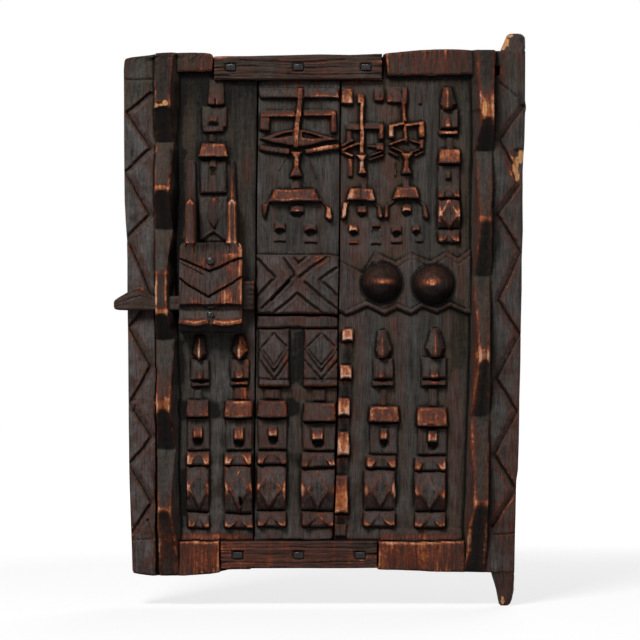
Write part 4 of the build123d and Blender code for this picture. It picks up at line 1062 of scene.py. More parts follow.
# soot and painted shadows between and beside the figures
for box in middleLook["sootAndShade"]:
    middle.shadeAndSootBox(*box)
for seat in middleLook["ends"]:
    middle.pit(*seat)
dress(middle.finish("carvedMiddlePlank", plankGrain, spread=(rearGap, rearGap)), woods["plank"], "leaf",
      "plank_wood", "middle_plank")
print("middle plank carved")

# right plank: two dancers, post, breasts, three figures, rib and zigzag border
rightLook = dict(
    columns=steps((0.715, 128), (0.11, 18), (0.175, 24)), rows=steps((1, 520)), seed=37,
    ribWall=[(50, 495.5), (200, 492), (300, 490.2), (400, 490), (503, 487.5), (576, 485.5)],
    ribProfile=[(50, 24), (100, 33), (118, 34), (126, 30), (151.5, 11), (218, 34), (222, 33.5), (276.5, 11),
        (350, 34), (360, 33), (416.5, 11), (500, 34), (505, 33), (574, 7)],
    ribBase=[(50, 26), (119, 22), (220, 20.8), (359, 20.4), (415, 22.4), (500, 23.2), (570, 23.6)],
    paintedShadowBoxes=[(449, 467, 296, 372, 0.6), (449, 467, 80, 140, 0.3)],
    border=[(524, 106), (500, 140), (522, 182), (498, 215), (521, 252), (499, 300), (520, 335), (497, 378),
        (518, 412), (495, 454), (516, 490), (493, 526)], borderCuts=[((527, 534), (493, 534.5))],
    losses=[("block", ([(513, 149), (527, 147), (527, 182), (516, 184)], 5.5),
             dict(edge=3, worn=0, sink=True)),
        ("pit", ([(495.6, 66), (499.8, 66), (499.8, 75), (495.6, 75)], -7))],
    crestWear=[(116, 8, 0.4), (220, 3, 0.75), (355, 5, 0.75), (502, 3, 0.7)],
    ends=[("block", ([(383.6, 45), (476, 45), (476, 75.5), (386.8, 77)], endRim), dict(worn=1.6)),
        ("bar", (378, 465, 541, 580, endRim), dict(worn=1.6)), ("ledge", (380, 464, 529, 541, 4, 0.5)),
        ("paint", (425, 537, 45, 3.5, 0.4)),
        ("pit", ([(330, 45), (383.2, 45), (383.2, 80.5), (330, 80.5)], housing)),
        ("pit", ([(320, 540.4), (377.6, 540.4), (377.6, 585), (320, 585)], housing))],
    post=[(328, 340.5, 364, 345, 353.5), (365, 378.5, 397, 343, 352.5), (398, 415.5, 430, 341, 350.5),
        (432, 455, 474, 340, 349.5), (476, 513, 526, 336.5, 348.5)],
    breasts=[(381.5, 283, 21), (433.5, 285, 20.6)],
    topKnob=[("ledge", (445.8, 451.2, 171, 180.3, 12.5, 6.5, 0.0, 1.0, 0.6)),
        ("pit", ([(446.5, 181), (451, 181), (451.5, 187), (446, 187)], 4), dict(edge=2))],
    wearAndHighlightSpots=[(347, 96, 6, 8, 0.36), (362, 125, 3, 25, 0.35), (349, 150, 9, 14, 0.35),
        (361, 162, 5, 10, 0.55), (350, 194, 6, 8, 0.65), (372, 195, 5, 8, 0.6), (344, 211, 4, 10, 0.65),
        (353, 229, 6, 6, 0.6), (354, 242, 8, 4, 0.35), (390, 97, 10, 6, 0.15), (404, 112, 4, 14, 0.3),
        (406, 125, 16, 5, 0.35), (391, 133, 4, 8, 0.4), (422, 132, 4, 8, 0.4), (407, 160, 6, 12, 0.5),
        (406, 193, 15, 7, 0.28), (406, 210, 5, 4, 0.35), (449, 156, 11, 7, 0.5), (449, 132, 9, 3, 0.4),
        # the spots at (385, 281.5) and (431, 282) are painted highlights across the breasts
        (385, 281.5, 9, 2.6, 1.0), (431, 282, 7, 3.0, 0.8), (384, 414, 15, 9, 0.32), (431, 417, 15, 10, 0.36),
        (384, 437, 4, 5, 0.5), (433, 440, 5, 4, 0.5), (420, 555, 44, 18, 0.66), (430, 62, 40, 12, 0.2),
        (487, 108, 6, 12, 0.5), (475, 400, 5, 80, 0.25), (515, 380, 8, 120, 0.12), (504, 525, 16, 45, 0.2),
        (370, 462, 4, 6, 0.5), (392, 462, 4, 6, 0.5), (418, 466, 4, 6, 0.5), (442, 466, 4, 6, 0.5),
        (512, 165, 6, 16, 0.3)],
    freshWood=[(521, 156, 3.5, 9), (516, 166, 3.5, 10), (517, 173, 3, 9), (484, 110, 2.5, 10)],
    breastHeights=[(0, 36.5), (1.5, 35.6), (3, 34), (6, 30.5), (10, 25.5), (14, 19), (17, 13.5), (19.3, 8.5),
        (20.6, 4.5), (21.6, 1)], handled=(330, 466, 0.13), postFoot=(335, 347, 524, 537, 5),
    tipRing=(433.5, 283, 4.5), topCut=([(500, 82.5), (517, 97)], 3.2, 1.8))
right = Relief(inset(outline["secondGap"], jointGap), outline["right"], outline["top"], outline["foot"],
               rightLook["columns"], rightLook["rows"], rightLook["seed"])
right.height += borderHeight * smooth((right.column - follow(right.row, rightLook["ribWall"]) + 1.5) / 1.5)
right.dustAndPaintedLight += 0.35 * (right.column > 490)
right.dustAndPaintedLight -= 0.3 * (right.column > 428) * np.interp(right.row, (340, 430), (1, 0))
# painted shadows beside the heads of the top and outer figures
for box in rightLook["paintedShadowBoxes"]:
    right.shadeAndSootBox(*box)
right.groove(*rightLook["topCut"])
carveBorder(right, -1, rightLook["border"], rightLook["borderCuts"])
carve(right, rightLook["losses"])
carveRib(right, rightLook["ribWall"], rightLook["ribProfile"], -1, rightLook["ribBase"])
for row, tall, amount in rightLook["crestWear"]:
    right.paint(follow(row, rightLook["ribWall"]) - 6, row, 9, tall, amount)
carve(right, rightLook["ends"])
for top0, bright0, foot0, left0, right0 in rightLook["post"]:
    right.ledge(left0 - 3, right0, top0, bright0 + 2, 12.5, 4, arch=2.2, facet=0.8, power=0.8)
    right.bar(left0 - 3, right0 - 1, bright0 + 2, foot0, byRow((bright0, 2.5), (foot0, 1.0)), worn=0)
    right.paint((left0 + right0) / 2 - 1, bright0 - 0.35 * (bright0 - top0), 8, (bright0 - top0) * 0.5, 1.2)
    # painted shadow under each step
    right.paint((left0 + right0) / 2 - 1, (bright0 + foot0) / 2 + 3, 6.5, (foot0 - bright0) * 0.45, -1.0)
right.bar(*rightLook["postFoot"])
# toothed band under the breasts
band = dict(
    top=[(341, 261), (362, 272), (376, 252), (396, 262), (411, 253), (431, 261), (447, 251), (458, 258),
        (470, 249)],
    foot=[(341, 313), (346, 316), (367, 307), (384, 315.5), (397, 309), (411, 315), (423, 308), (437, 314),
        (450, 307), (466, 314)])
topRow = follow(right.column, band["top"])
footRow = follow(right.column, band["foot"])
inside = np.minimum(np.minimum(right.row - topRow, footRow - right.row), 471 - right.column)
right.height += 5.2 * smooth((inside + 0.4) / 1.8) * (inside > -2)
right.groove([(p[0], p[1] - 6) for p in band["foot"][1:]], 2.2, 1.8)
right.groove([(p[0], p[1] + 6) for p in band["top"][1:]], 2.2, 1.6)
for centre0, row0, radius0 in rightLook["breasts"]:
    away = np.hypot(right.column - centre0, right.row - row0)
    # painted shade: a dark ring round each breast, and its lower half, which faces down, darker
    right.paintedShadeAndSoot += 0.75 * smooth((away - 8) / 9) * smooth((25 - away) / 4)
    right.paintedShadeAndSoot += 0.5 * smooth((right.row - row0 - 3) / 8) * smooth((21 - away) / 2)
    right.dome(centre0, row0, radius0 + 0.8, rightLook["breastHeights"])
column, row, radius = rightLook["tipRing"]
ring = [(column + radius * math.cos(a), row + radius * math.sin(a)) for a in np.linspace(0, 2 * math.pi, 13)]
right.groove(ring, 1.6, 0.8)
rightFigures = dict(
    inner=dict(hat=(375.8, 392.3, 330, 350, 382.5, 357.4), dustAndHighlight=1.6, blunt=4.2, ridge=0.3,
        face=(374, 393, 358, 380), nose=(379, 384, 370, 379.5), chin=(373, 393.5, 381.5, 387),
        neck=(380, 387, 388, 406), shoulder=(368.5, 399.3, 406.5, 422.5), torso=(370.5, 397.5, 423.5, 455),
        knob=(380.6, 387.4, 433, 441.5), hips=(366.8, 396, 456, 468), skirt=(364.3, 395.5, 470, 510.5),
        diamond=(380.6, 476, 372, 388.5, 489.5, 508), base=(364, 395.5, 512, 526.5)),
    outer=dict(hat=(425.8, 445.3, 329, 348, 435.6, 356.6), dustAndHighlight=0.9, blunt=5.2, ridge=0.4,
        face=(422, 447, 357.5, 380), nose=(431, 438.5, 370, 379.5), chin=(422, 447, 381, 387),
        neck=(428, 438, 388, 407), shoulder=(416.8, 447.6, 407.5, 427), torso=(418, 446.8, 428, 455),
        knob=(428, 437.3, 435, 443.5), hips=(414.6, 446, 457, 471), skirt=(414.5, 445.8, 472, 511.5),
        diamond=(429.4, 478, 420, 439, 492.5, 510), base=(415, 445.8, 513, 527.5)),
    topFigure=dict(hat=(441, 456.8, 87, 104, 447.6, 109), blunt=4.2, dustAndHighlight=0.4, ridge=0.5,
        face=(440.5, 459, 109, 129), nose=(445.6, 450.5, 120, 128), chin=(439.3, 458.5, 130.5, 135.6),
        neck=(446.5, 454, 136, 150), shoulder=(438.5, 461, 149.5, 164.3), torso=(438.5, 460.5, 165, 190),
        hips=(438, 460.5, 186, 198.3), skirt=(438, 460.5, 199.5, 228.5),
        diamond=(449, 200, 441, 457, 214, 228), base=(438.5, 460, 230, 242.5)))
for figure in rightFigures.values():
    carveFigure(right, figure)
carve(right, rightLook["topKnob"])
innerDancer = dict(
    bands=[([(362.3, 101), (362, 128), (361.8, 153)], 4.4, 10.5), ([(342.5, 145.6), (353, 140.3)], 3.0, 8),
        ([(342.5, 149.6), (359, 143.6)], 3.2, 9.5), ([(342.5, 151.4), (352, 156)], 3.0, 9.5),
        ([(350, 200), (346, 206)], 1.8, 5), ([(371, 200), (378, 207)], 1.8, 5),
        ([(368, 146), (378, 146.5)], 2.8, 6), ([(371, 155.8), (383, 150.6)], 2.8, 8),
        ([(370, 160), (383.4, 155.2)], 2.6, 8.5), ([(371.5, 222), (371.8, 231)], 1.6, 3),
        ([(377, 222), (381, 236)], 1.6, 2.6), ([(372, 176), (376, 186)], 2, 2.5)],
    ledges=[(341.5, 353.2, 88, 104.3, 10, 3), (357.6, 365, 94, 103.8, 11, 5), (375, 384.4, 87, 101.6, 8.5, 2),
        (387, 401.5, 87, 102.6, 8, 2), (401.4, 407.6, 87, 104.3, 11, 4), (418, 422, 88, 104, 4, 1),
        (346, 360.2, 124, 130.8, 9, 4), (364, 379.5, 123, 129.8, 9.5, 3), (378.4, 383.8, 124, 139.8, 10, 8.5),
        (346.6, 352.2, 130, 142.5, 7.5, 5), (376, 384.2, 143.5, 150.2, 9.5, 5.5),
        (347.8, 353, 158, 176.5, 7, 4.5), (350.4, 371.8, 188, 200.6, 13.5, 7.5, 3.6, 0.0, 2.4, 3.6),
        (361, 366.5, 177, 188, 4.5, 3.5)],
    shapes=[([(355.6, 154.8), (366.8, 154.8), (364.4, 161), (359.8, 161)], 12),
        ([(359.8, 158), (364.3, 158), (364.3, 170), (359.8, 170)], 11),
        ([(360, 167), (364, 167), (367.2, 173.8), (358.4, 173.8)], byRow((167, 10), (174, 13))),
        ([(343.3, 202), (347.6, 203), (346.5, 217), (344.5, 219.6), (341.2, 219)], byRow((202, 6), (219, 12))),
        ([(377, 205), (380.4, 205), (383, 217), (381, 219.6), (378, 217.5)], byRow((205, 5), (219, 10)))],
    knobs=[(357.8, 366.6, 214, 10, 1.2), (349.8, 357.6, 233.2, 11, 2.4, 244.2), (372, 380, 228, 3, 0.6, 245)])
outerDancer = dict(
    bands=[([(403.6, 99), (404.8, 121)], 4.0, 11), ([(405.3, 124), (406, 142)], 3.6, 8.5),
        ([(390, 126.4), (404, 123.4)], 3.8, 9.5), ([(407, 124.6), (420, 123.4)], 3.8, 9.5),
        ([(390, 144.8), (404.5, 139.8)], 3.0, 8.5), ([(391, 147.4), (403, 152.2)], 2.6, 7),
        ([(411, 140.4), (420, 142.6)], 2.8, 8), ([(410, 153), (420, 149.2)], 2.6, 6.5),
        ([(389.6, 151.8), (397.5, 156)], 2.8, 8.5), ([(415, 156), (424, 151.8)], 2.6, 7),
        ([(395.2, 162), (395.2, 175)], 2.2, 4.5), ([(397, 199), (388, 206)], 1.8, 5),
        ([(416, 199), (424, 205)], 1.8, 5)],
    ledges=[(388.8, 394.4, 124.5, 138.5, 10, 8.5), (418.4, 424.4, 121.5, 137.8, 10, 8.5),
        (419.6, 424.4, 139, 149.4, 9.5, 7.5), (402.6, 410, 175, 187, 4.5, 3.5),
        (396.8, 416.4, 186.8, 199.4, 13.5, 7.5, 3.8, 0.6, 2.4, 3.6), (391, 402.8, 238, 243.2, 5, 1),
        (415.4, 423.6, 237, 242.2, 4.5, 1)],
    shapes=[([(401, 153.2), (413.2, 153.2), (409.5, 160), (404.3, 160)], 12),
        ([(404.5, 157), (409.2, 157), (409.2, 169), (404.5, 169)], 11),
        ([(404.8, 166), (408.8, 166), (412.8, 174.2), (401.4, 174.2)], byRow((166, 10), (174, 13))),
        ([(388.8, 203), (385.8, 204), (384.2, 217), (386.5, 220), (389, 216)], byRow((203, 5), (219, 9.5))),
        ([(422.6, 202), (426, 203), (428.8, 217), (426.5, 220), (424, 217)], byRow((203, 5), (219, 9.5)))],
    knobs=[(402.8, 411.4, 213, 10.5, 1.8), (392.8, 401.4, 233.4, 10, 2.8), (413, 420.6, 233, 8.5, 2.2)])
carveDancer(right, innerDancer)
right.groove([(361.3, 189), (361.3, 199)], 2.4, 1.6)
carveDancer(right, outerDancer)
right.handle(*rightLook["handled"])
right.paintedShadeAndSoot += 0.34 * np.interp(right.row, (60, 78, 92), (1, 1, 0))
right.dustAndPaintedLight += 0.35 * np.interp(right.row, (450, 500), (0, 1)) * (right.column < 462)
for spot in rightLook["wearAndHighlightSpots"]:
    right.paint(*spot)
for spot in rightLook["freshWood"]:
    right.paint(*spot, 1.0, chip=True)
rightPiece = dress(right.finish("carvedRightPlank", plankGrain, spread=(rearGap, 0)), woods["plank"], "leaf",
                   "plank_wood", "right_plank")
rightPiece.data.materials.append(woods["breast"])
onBreast = np.zeros(right.height.shape, bool)
for centre0, row0, radius0 in rightLook["breasts"]:
    onBreast |= np.hypot(right.trueColumn - centre0, right.trueRow - row0) < 20.3
finish = np.zeros(len(rightPiece.data.polygons), np.int32)
finish[:onBreast[1:, 1:].size] = onBreast[1:, 1:].ravel()
rightPiece.data.polygons.foreach_set("material_index", finish)
print("right plank carved")


def pivotStub(name, stations, chips, seed):
    # rings of a rounded box that turns into a circle; station = (row, left, right, front, back, squareness)
    rows = np.array([s[0] for s in stations])
    fine = np.linspace(rows[0], rows[-1], 46)
    order = np.argsort(rows)
    take = lambda k: np.interp(fine, rows[order], np.array([s[k] for s in stations])[order])
    leftEdge, rightEdge, frontEdge, rearEdge, power = (take(k) for k in range(1, 6))
    angle = np.linspace(0, 2 * math.pi, 72, endpoint=False)[None]
    corner = power[:, None]
    unitX, unitY = squarish(angle, 2 / corner)
    rough = 1 + 0.012 * softNoise((len(fine), 72), 3, 3, seed)
    x = acrossLeaf((leftEdge + rightEdge)[:, None] / 2 + (rightEdge - leftEdge)[:, None] / 2 * unitX * rough)
    y = ((frontEdge + rearEdge)[:, None] / 2 + (rearEdge - frontEdge)[:, None] / 2 * unitY * rough) / 1000
    z = upLeaf(fine)[:, None] + 0 * angle
    rings = np.stack([x, y, z], -1)
    c = (leftEdge + rightEdge)[:, None] / 2 + (rightEdge - leftEdge)[:, None] / 2 * unitX
    chip = np.zeros(c.shape)
    for column, row, wide, tall in chips:
        chip = np.maximum(chip,
                          np.exp(-((c - column) / wide) ** 2 - ((fine[:, None] - row) / tall) ** 2)
                          * (np.sin(angle) < 0.3))
    ends = np.abs(fine - rows[-1])[:, None] < 2.5
    wear = 0.25 * np.ones(c.shape) + 0.6 * ends
    if rows[0] < rows[-1]:      # rings that go down are turned, so that faces point outwards
        rings, wear, chip = rings[:, ::-1], wear[:, ::-1], chip[:, ::-1]
    zero = np.zeros(c.shape)
    return tube(name, rings, values={"wear": wear, "hollow": zero, "tone": zero + 0.1, "chip": chip})


upperPivot = dict(
    stations=[(58, 500.2, 525.3, -15.2, 15.2, 8), (50.5, 500.6, 525.5, -15, 15, 7),
        (46, 502.4, 525.8, -14, 14, 4.5), (42, 504.3, 526, -13.2, 13.2, 2.6),
        (36.5, 506.6, 525.8, -12.6, 12.6, 2.1), (34.3, 507.8, 524.4, -11, 11, 2),
        (33.0, 510, 522.2, -8, 8, 2)], chips=[(506, 41, 3.2, 7), (510, 35.5, 3.5, 2), (503, 47, 2.5, 4)],
    seed=51)
upperStub = pivotStub("upperPivotStub", **upperPivot)
lowerPivot = dict(
    stations=[(566, 489, 514.5, -14.5, 15.2, 8), (572, 491.4, 514.4, -14, 14.5, 7),
        (583, 494.6, 514.4, -12, 12, 4), (590, 496.6, 514.2, -10.8, 10.8, 2.3),
        (600, 498.4, 512.6, -9.8, 9.8, 2), (604.5, 499.4, 510.6, -8, 8, 2), (606.3, 501, 508.5, -5.5, 5.5, 2)],
    chips=[(503, 601, 2, 5)], seed=52)
lowerStub = pivotStub("lowerPivotStub", **lowerPivot)
for stub in (upperStub, lowerStub):
    dress(stub, woods["plank"], "leaf", "plank_wood", "right_plank")
print("pivots turned")

# battens: grooved boards laid into the plank ends, sunk under each staple
battenLooks = dict(
    top=dict(left=[(50, 214.2), (85, 214)], right=[(50, 382), (85, 382.2)],
        top=[(210, 56.5), (225, 56.2), (250, 56.1), (280, 55.4), (300, 54.9), (320, 54.4), (350, 55),
             (375, 54), (385, 54)], foot=[(210, 79.4), (250, 79.9), (300, 80.1), (340, 79.6), (385, 80)],
        seed=61,
        grooves=[[(216, 68), (250, 66.5), (290, 68.5), (340, 67)],
                 [(230, 74), (270, 73), (320, 75.5), (380, 73.5)], [(240, 61), (300, 62.5), (345, 60)]]),
    bottom=dict(left=[(535, 220.6), (575, 221.2)], right=[(535, 377), (575, 376.6)],
        top=[(215, 541.3), (260, 541), (300, 541.6), (340, 541), (380, 541.3)],
        foot=[(215, 567.8), (250, 568.4), (300, 568), (340, 568.3), (380, 567.8)], seed=67,
        grooves=[[(224, 548), (290, 547), (370, 549)], [(224, 562), (300, 563), (372, 561)]]))
stapleLook = dict(
    wide=0.0078, thick=0.0024, reach=0.0060, turned=0.0044,
    places=dict(top_left=(230.5, 67.5), top_middle=(298.3, 67.3), top_right=(366, 67.3),
        bottom_left=(237.6, 555), bottom_middle=(298.6, 555), bottom_right=(360.2, 555)))
battenBack = -0.003
for name, look in battenLooks.items():
    batten = Relief(*edges(look), steps((1, 190)), steps((1, 44)), look["seed"])
    batten.height += endRim
    for line in look["grooves"]:
        batten.groove(line, 2.0, 0.8, 0.2)
    warm = softNoise(batten.height.shape, 2.0, 30, look["seed"] + 5)
    batten.tone += np.clip(0.16 * warm + (0.1 if name == "top" else 0.36), 0, 0.8)
    batten.paintedShadeAndSoot += 0.2 if name == "top" else 0.0
    for place, (column, row) in stapleLook["places"].items():
        if place.startswith(name):
            batten.block([(column - 6.5, row - 4.4), (column + 6.5, row - 4.6), (column + 6.2, row + 4.6),
                          (column - 6.3, row + 4.2)], 9.4, edge=1.6, worn=0, sink=True)
            batten.paint(column, row, 7, 4.5, -0.7)
    batten.height += 0.25 * softNoise(batten.height.shape, 1.2, 26, look["seed"] + 6)
    piece = batten.finish(name + "BattenBoard", 0.2, rim=1.3, alongRows=False, back=battenBack,
                          backGrid=(8, 30))
    dress(piece, woods["batten"], "leaf", "batten_wood", name + "_batten")
print("battens laid")


def pathStrap(name, path, wide, thick, seed):
    # rounded-rectangle section swept along a path in the plane across the leaf;
    # path = (x, y) points in metres
    path = np.array(path)
    run = np.concatenate([[0], np.cumsum(np.hypot(*np.diff(path, axis=0).T))])
    fine = np.linspace(0, run[-1], 90)
    line = np.stack([np.interp(fine, run, path[:, k]) for k in (0, 1)], -1)
    line[:, 0], line[:, 1] = (blurred(line[:, k][:, None], 1.3, 0)[:, 0] for k in (0, 1))
    line[0], line[-1] = path[0], path[-1]
    along = np.gradient(line, axis=0)
    along /= np.linalg.norm(along, axis=1)[:, None]
    across = np.stack([-along[:, 1], along[:, 0]], -1)
    angle = np.linspace(0, 2 * math.pi, 16, endpoint=False)
    u, v = squarish(angle, 0.5)
    rough = 1 + 0.06 * softNoise((90, 16), 2.5, 1.5, seed)
    wideHere = wide * (1 - 0.55 * np.abs(np.linspace(-1, 1, 90)) ** 6)
    flat = line[:, None] + across[:, None] * (thick / 2 * u[None, :, None]) * rough[..., None]
    up = wideHere[:, None] / 2 * v[None, :] * rough
    return tube(name, np.stack([flat[..., 0], flat[..., 1], up], -1))


for number, (name, (column, row)) in enumerate(stapleLook["places"].items()):
    reach, crown, heel = stapleLook["reach"], floorY - 0.0122, backY - 0.0012
    path = [(-reach + stapleLook["turned"], heel), (-reach, heel), (-reach, crown + 0.001),
            (-reach + 0.0016, crown), (reach - 0.0016, crown), (reach, crown + 0.001), (reach, heel),
            (reach - stapleLook["turned"], heel)]
    piece = pathStrap(name.replace("_", "") + "Staple", [(x + acrossLeaf(column), y) for x, y in path],
                      stapleLook["wide"], stapleLook["thick"], 70 + number)
    shift = np.empty(len(piece.data.vertices) * 3)
    piece.data.vertices.foreach_get("co", shift)
    shift[2::3] += upLeaf(row)
    piece.data.vertices.foreach_set("co", shift)
    dress(piece, iron, "leaf", "iron", name + "_staple")
print("staples driven")


def cutFrom(piece, cutters):
    # takes the cutters out of a piece and keeps the result as its mesh
    for number, cutter in enumerate(cutters):
        change = piece.modifiers.new("cut" + str(number), "BOOLEAN")
        change.operation, change.solver, change.object = "DIFFERENCE", "EXACT", cutter
    graph = bpy.context.evaluated_depsgraph_get()
    mesh = bpy.data.meshes.new_from_object(piece.evaluated_get(graph))
    piece.modifiers.clear()
    piece.data = mesh
    for cutter in cutters:
        bpy.data.objects.remove(cutter)


def boxCutter(x0, x1, y0, y1, z0, z1):
    corners = [(x, y, z) for x in (x0, x1) for y in (y0, y1) for z in (z0, z1)]
    faces = [(0, 1, 3, 2), (4, 6, 7, 5), (0, 4, 5, 1), (2, 3, 7, 6), (0, 2, 6, 4), (1, 5, 7, 3)]
    return newMesh("boxCutter", corners, faces)


def rodCutter(x, y, z0, z1, radius):
    angle = np.linspace(0, 2 * math.pi, 24, endpoint=False)
    ring = np.stack([x + radius * np.cos(angle), y + radius * np.sin(angle)], -1)
    rings = np.stack([np.column_stack([ring, np.full(24, z)]) for z in (z0, z1)])
    return tube("rodCutter", rings)


def flipped(piece):
    # turns every face of a closed mesh outwards when its volume comes out negative
    mesh = piece.data
    co = np.empty(len(mesh.vertices) * 3)
    mesh.vertices.foreach_get("co", co)
    mesh.calc_loop_triangles()
    corners = np.empty(len(mesh.loop_triangles) * 3, int)
    mesh.loop_triangles.foreach_get("vertices", corners)
    a, b, c = co.reshape(-1, 3)[corners.reshape(-1, 3)].transpose(1, 0, 2)
    if np.einsum("ij,ij->i", a, np.cross(b, c)).sum() < 0:
        mesh.flip_normals()
    return piece


# lock case, hollowed for the bolt and drilled for the three tumblers
tumblerX = (-0.3768, -0.3708, -0.3648)
lockY = floorY - 0.012
channelRadius, channelTall = 0.00186, 0.0385
boltThrow = 0.033
tunnelFoot, tunnelTop, tunnelFront = 0.3705, 0.4105, floorY - 0.0245
seatFoot, seatTop, keySlotTop = 0.398, 0.411, 0.402      # heights in the bolt tail
caseLook = dict(
    seed=81,
    panels=([(180, 243), (243, 243)], [(180, 258.5), (210.5, 271.5), (243, 256.5)],
        [(180, 279.5), (209, 297), (243, 276.5)],
        [(180, 306), (190, 304), (202, 304.5), (209, 309), (217, 308), (228, 303.5), (243, 306)]),
    left=[(243, 185), (243.8, 183), (245, 181.5), (248, 180.6), (270, 180.3), (320, 180), (327, 179.6),
        (333, 181)],
    right=[(243, 238), (244, 240.5), (246, 242), (250, 242.8), (280, 242.4), (319, 242.6), (325, 242.4),
        (333, 241)], top=[(180, 243.4), (243, 243.2)], foot=[(180, 332.6), (243, 333)],
    finishingCuts=[("block", ([(207.5, 317), (216, 317), (213.5, 328), (210.5, 328)], 37.5),
                    # the paints at rows 330.5 and 309.5 are painted shade, under the lip and in the channel
                    # above it
                    dict(edge=2.5, worn=0, sink=True)), ("paint", (211, 330.5, 34, 3.6, -2.2)),
        ("paint", (211, 309.5, 34, 3.0, -0.5)), ("paint", (205, 250, 26, 9, -0.6)),
        ("block", ([(225, 253.8), (241, 252.5), (241, 257), (226, 257.5)], 38.5), dict(edge=1.2))],
    wearAndHighlightSpots=[(241.7, 270, 2.0, 40, 0.9), (232, 255.5, 8, 1.8, 0.8), (196, 322, 13, 2.6, 0.75),
        (229, 322, 13, 2.8, 1.0), (226, 296, 5, 9, 0.6), (231, 268, 8, 7, 0.4), (197, 301, 10, 3, 0.35),
        (201, 265, 8, 4, 0.3)],
    profile=[(243, 35.5), (304, 38), (306.5, 33.5), (311, 31.5), (317.5, 34.5), (319.5, 37), (321, 43.3),
        (325, 43.3), (327, 36.5), (333.5, 29.5)])
case = Relief(*edges(caseLook), steps((1, 120)), steps((1, 190)), caseLook["seed"])
case.tone *= 0.4
profile = byRow(*caseLook["profile"])
lipWave = 1.1 * np.cos((case.column - 211) * 2 * math.pi / 31) * smooth((case.row - 312) / 4)
case.height += profile(case.column, case.row + lipWave)
flutes = softNoise(case.height.shape, 22, 2.0, 83)
lines = [follow(case.column, line) for line in caseLook["panels"]]
for number, (above, below) in enumerate(zip(lines, lines[1:])):
    share = (case.row - above) / (below - above)
    within = (share > 0) & (share < 1)
    case.height += within * 0.9 * flutes * unit(1.6 * share - 0.3)
    case.tone += within * (0.1 + 0.16 * (case.column > 212)) * unit(share) ** 1.5
    # painted shadow under each line, at the top of the panel below it
    case.paintedShadeAndSoot += within * 0.35 * unit(1 - 4 * share)
    # painted highlight: warm tone on the flute crests
    case.tone += within * 0.2 * np.clip(flutes - 0.5, 0, 1.5) * unit(1.5 * share)
    case.height += np.where(within, (0.2, -2.2, -2.2)[number] + (2.6, 4.8, 4.6)[number] * unit(share) ** 0.8,
                            0)
    if number < 2:
        case.groove(caseLook["panels"][number + 1], 2.4, 2.2)
case.groove([(181, 263.8), (206, 276)], 1.6, 1.8, 0.3)
scratches = softNoise(case.height.shape, 16, 0.9, 84)
case.height += np.where(case.row < 306, 0.5 * scratches, 0)
carve(case, caseLook["finishingCuts"])
for spot in caseLook["wearAndHighlightSpots"]:
    case.paint(*spot)
casePiece = case.finish("carvedLockCase", 0.15, rim=1.5, back=floorY - 0.00005, backGrid=(20, 14))
tunnel = boxCutter(-0.5, -0.3, tunnelFront, floorY + 0.003, tunnelFoot, tunnelTop)
channels = [flipped(rodCutter(x, lockY, tunnelTop - 0.001, tunnelTop + channelTall, channelRadius))
            for x in tumblerX]
cutFrom(casePiece, [tunnel] + channels)
dress(casePiece, woods["lock"], "leaf", "lock_wood", "lock_case")

earLooks = dict(
    left=dict(left=[(158, 187.6), (200, 187.4), (203, 186), (246, 185.6)],
        right=[(158, 195), (199, 196), (246, 196.6)], middle=190.8, seed=91, warm=0.26),
    right=dict(left=[(158, 231), (199, 230), (203, 227.6), (246, 226.4)],
        right=[(158, 234.4), (199, 235.6), (203, 237.2), (246, 237.4)], middle=232.6, seed=97, warm=0.85))
for name, look in earLooks.items():
    ear = Relief(look["left"], look["right"], [(180, 160.5), (243, 160.5)], [(180, 245), (243, 245)],
                 steps((1, 26)), steps((1, 120)), look["seed"])
    fall = 199.3 + 0.9 * np.abs(ear.column - look["middle"])
    upper = np.interp(ear.row, (160, 196), (12, 18))
    lower = np.interp(ear.row, (199, 206, 241, 242.5), (31.5, 33.5, 34, 35.5))
    ear.height = upper + (lower - upper) * smooth((ear.row - fall + 1) / 2.2)
    half = (follow(ear.row, look["right"]) - follow(ear.row, look["left"])) / 2
    across = np.abs(ear.column - look["middle"]) / half
    lowerPart = smooth((ear.row - fall) / 3)
    ear.height -= lowerPart * 6 * unit(across - 0.5) + (1 - lowerPart) * 4 * across
    patchy = np.clip(0.75 + 0.4 * softNoise(ear.height.shape, 10, 3, look["seed"]), 0, 1.2)
    ear.tone += look["warm"] * patchy * (lowerPart * bell((across - 0.55) / 0.22) + (1 - lowerPart)
                                         * (1.1 - across))
    ear.tone += 0.5 * look["warm"] * unit((ear.row - 238) / 4)
    ear.paint(look["middle"], 203, 6, 2.5, 0.4)
    piece = ear.finish(name + "LockEar", 0.15, rim=1.2, back=floorY - 0.00005, backGrid=(20, 4))
    dress(piece, woods["lock"], "leaf", "lock_wood", "lock_case")
print("lock case carved")

# bolt: beaked head, plain shank and tall tail with the seats of the tumblers
boltLook = dict(
    seed=101,
    top=[(114.3, 302.5), (115, 300.5), (116.5, 299.4), (120, 297), (127, 293), (135, 288), (138, 286.8),
        (141, 286.4), (146, 289.5), (150, 293.5), (153, 295.7), (156, 296), (203.8, 296), (204.3, 280.8),
        (254.5, 280.8)],
    foot=[(114.3, 306.5), (115, 308.5), (116.5, 309.6), (120, 310.2), (130, 310.5), (254.5, 310.6)],
    wearAndHighlightSpots=[(142, 288, 5, 2.5, 0.3), (122, 300, 6, 6, 0.1), (172, 283, 5, 8, 0.3),
        (248, 296, 9, 24, -0.35)], left=[(200, 114.3), (400, 114.3)], right=[(200, 254.5), (400, 254.5)])
boltColumns = np.concatenate([np.linspace(114.3, 118, 10), np.linspace(118.6, 156, 60),
                              np.linspace(157, 203.8, 62), np.linspace(204.3, 254.5, 68)])
boltShares = (boltColumns - boltColumns[0]) / (boltColumns[-1] - boltColumns[0])
bolt = Relief(*edges(boltLook), boltShares, steps((1, 36)), boltLook["seed"])
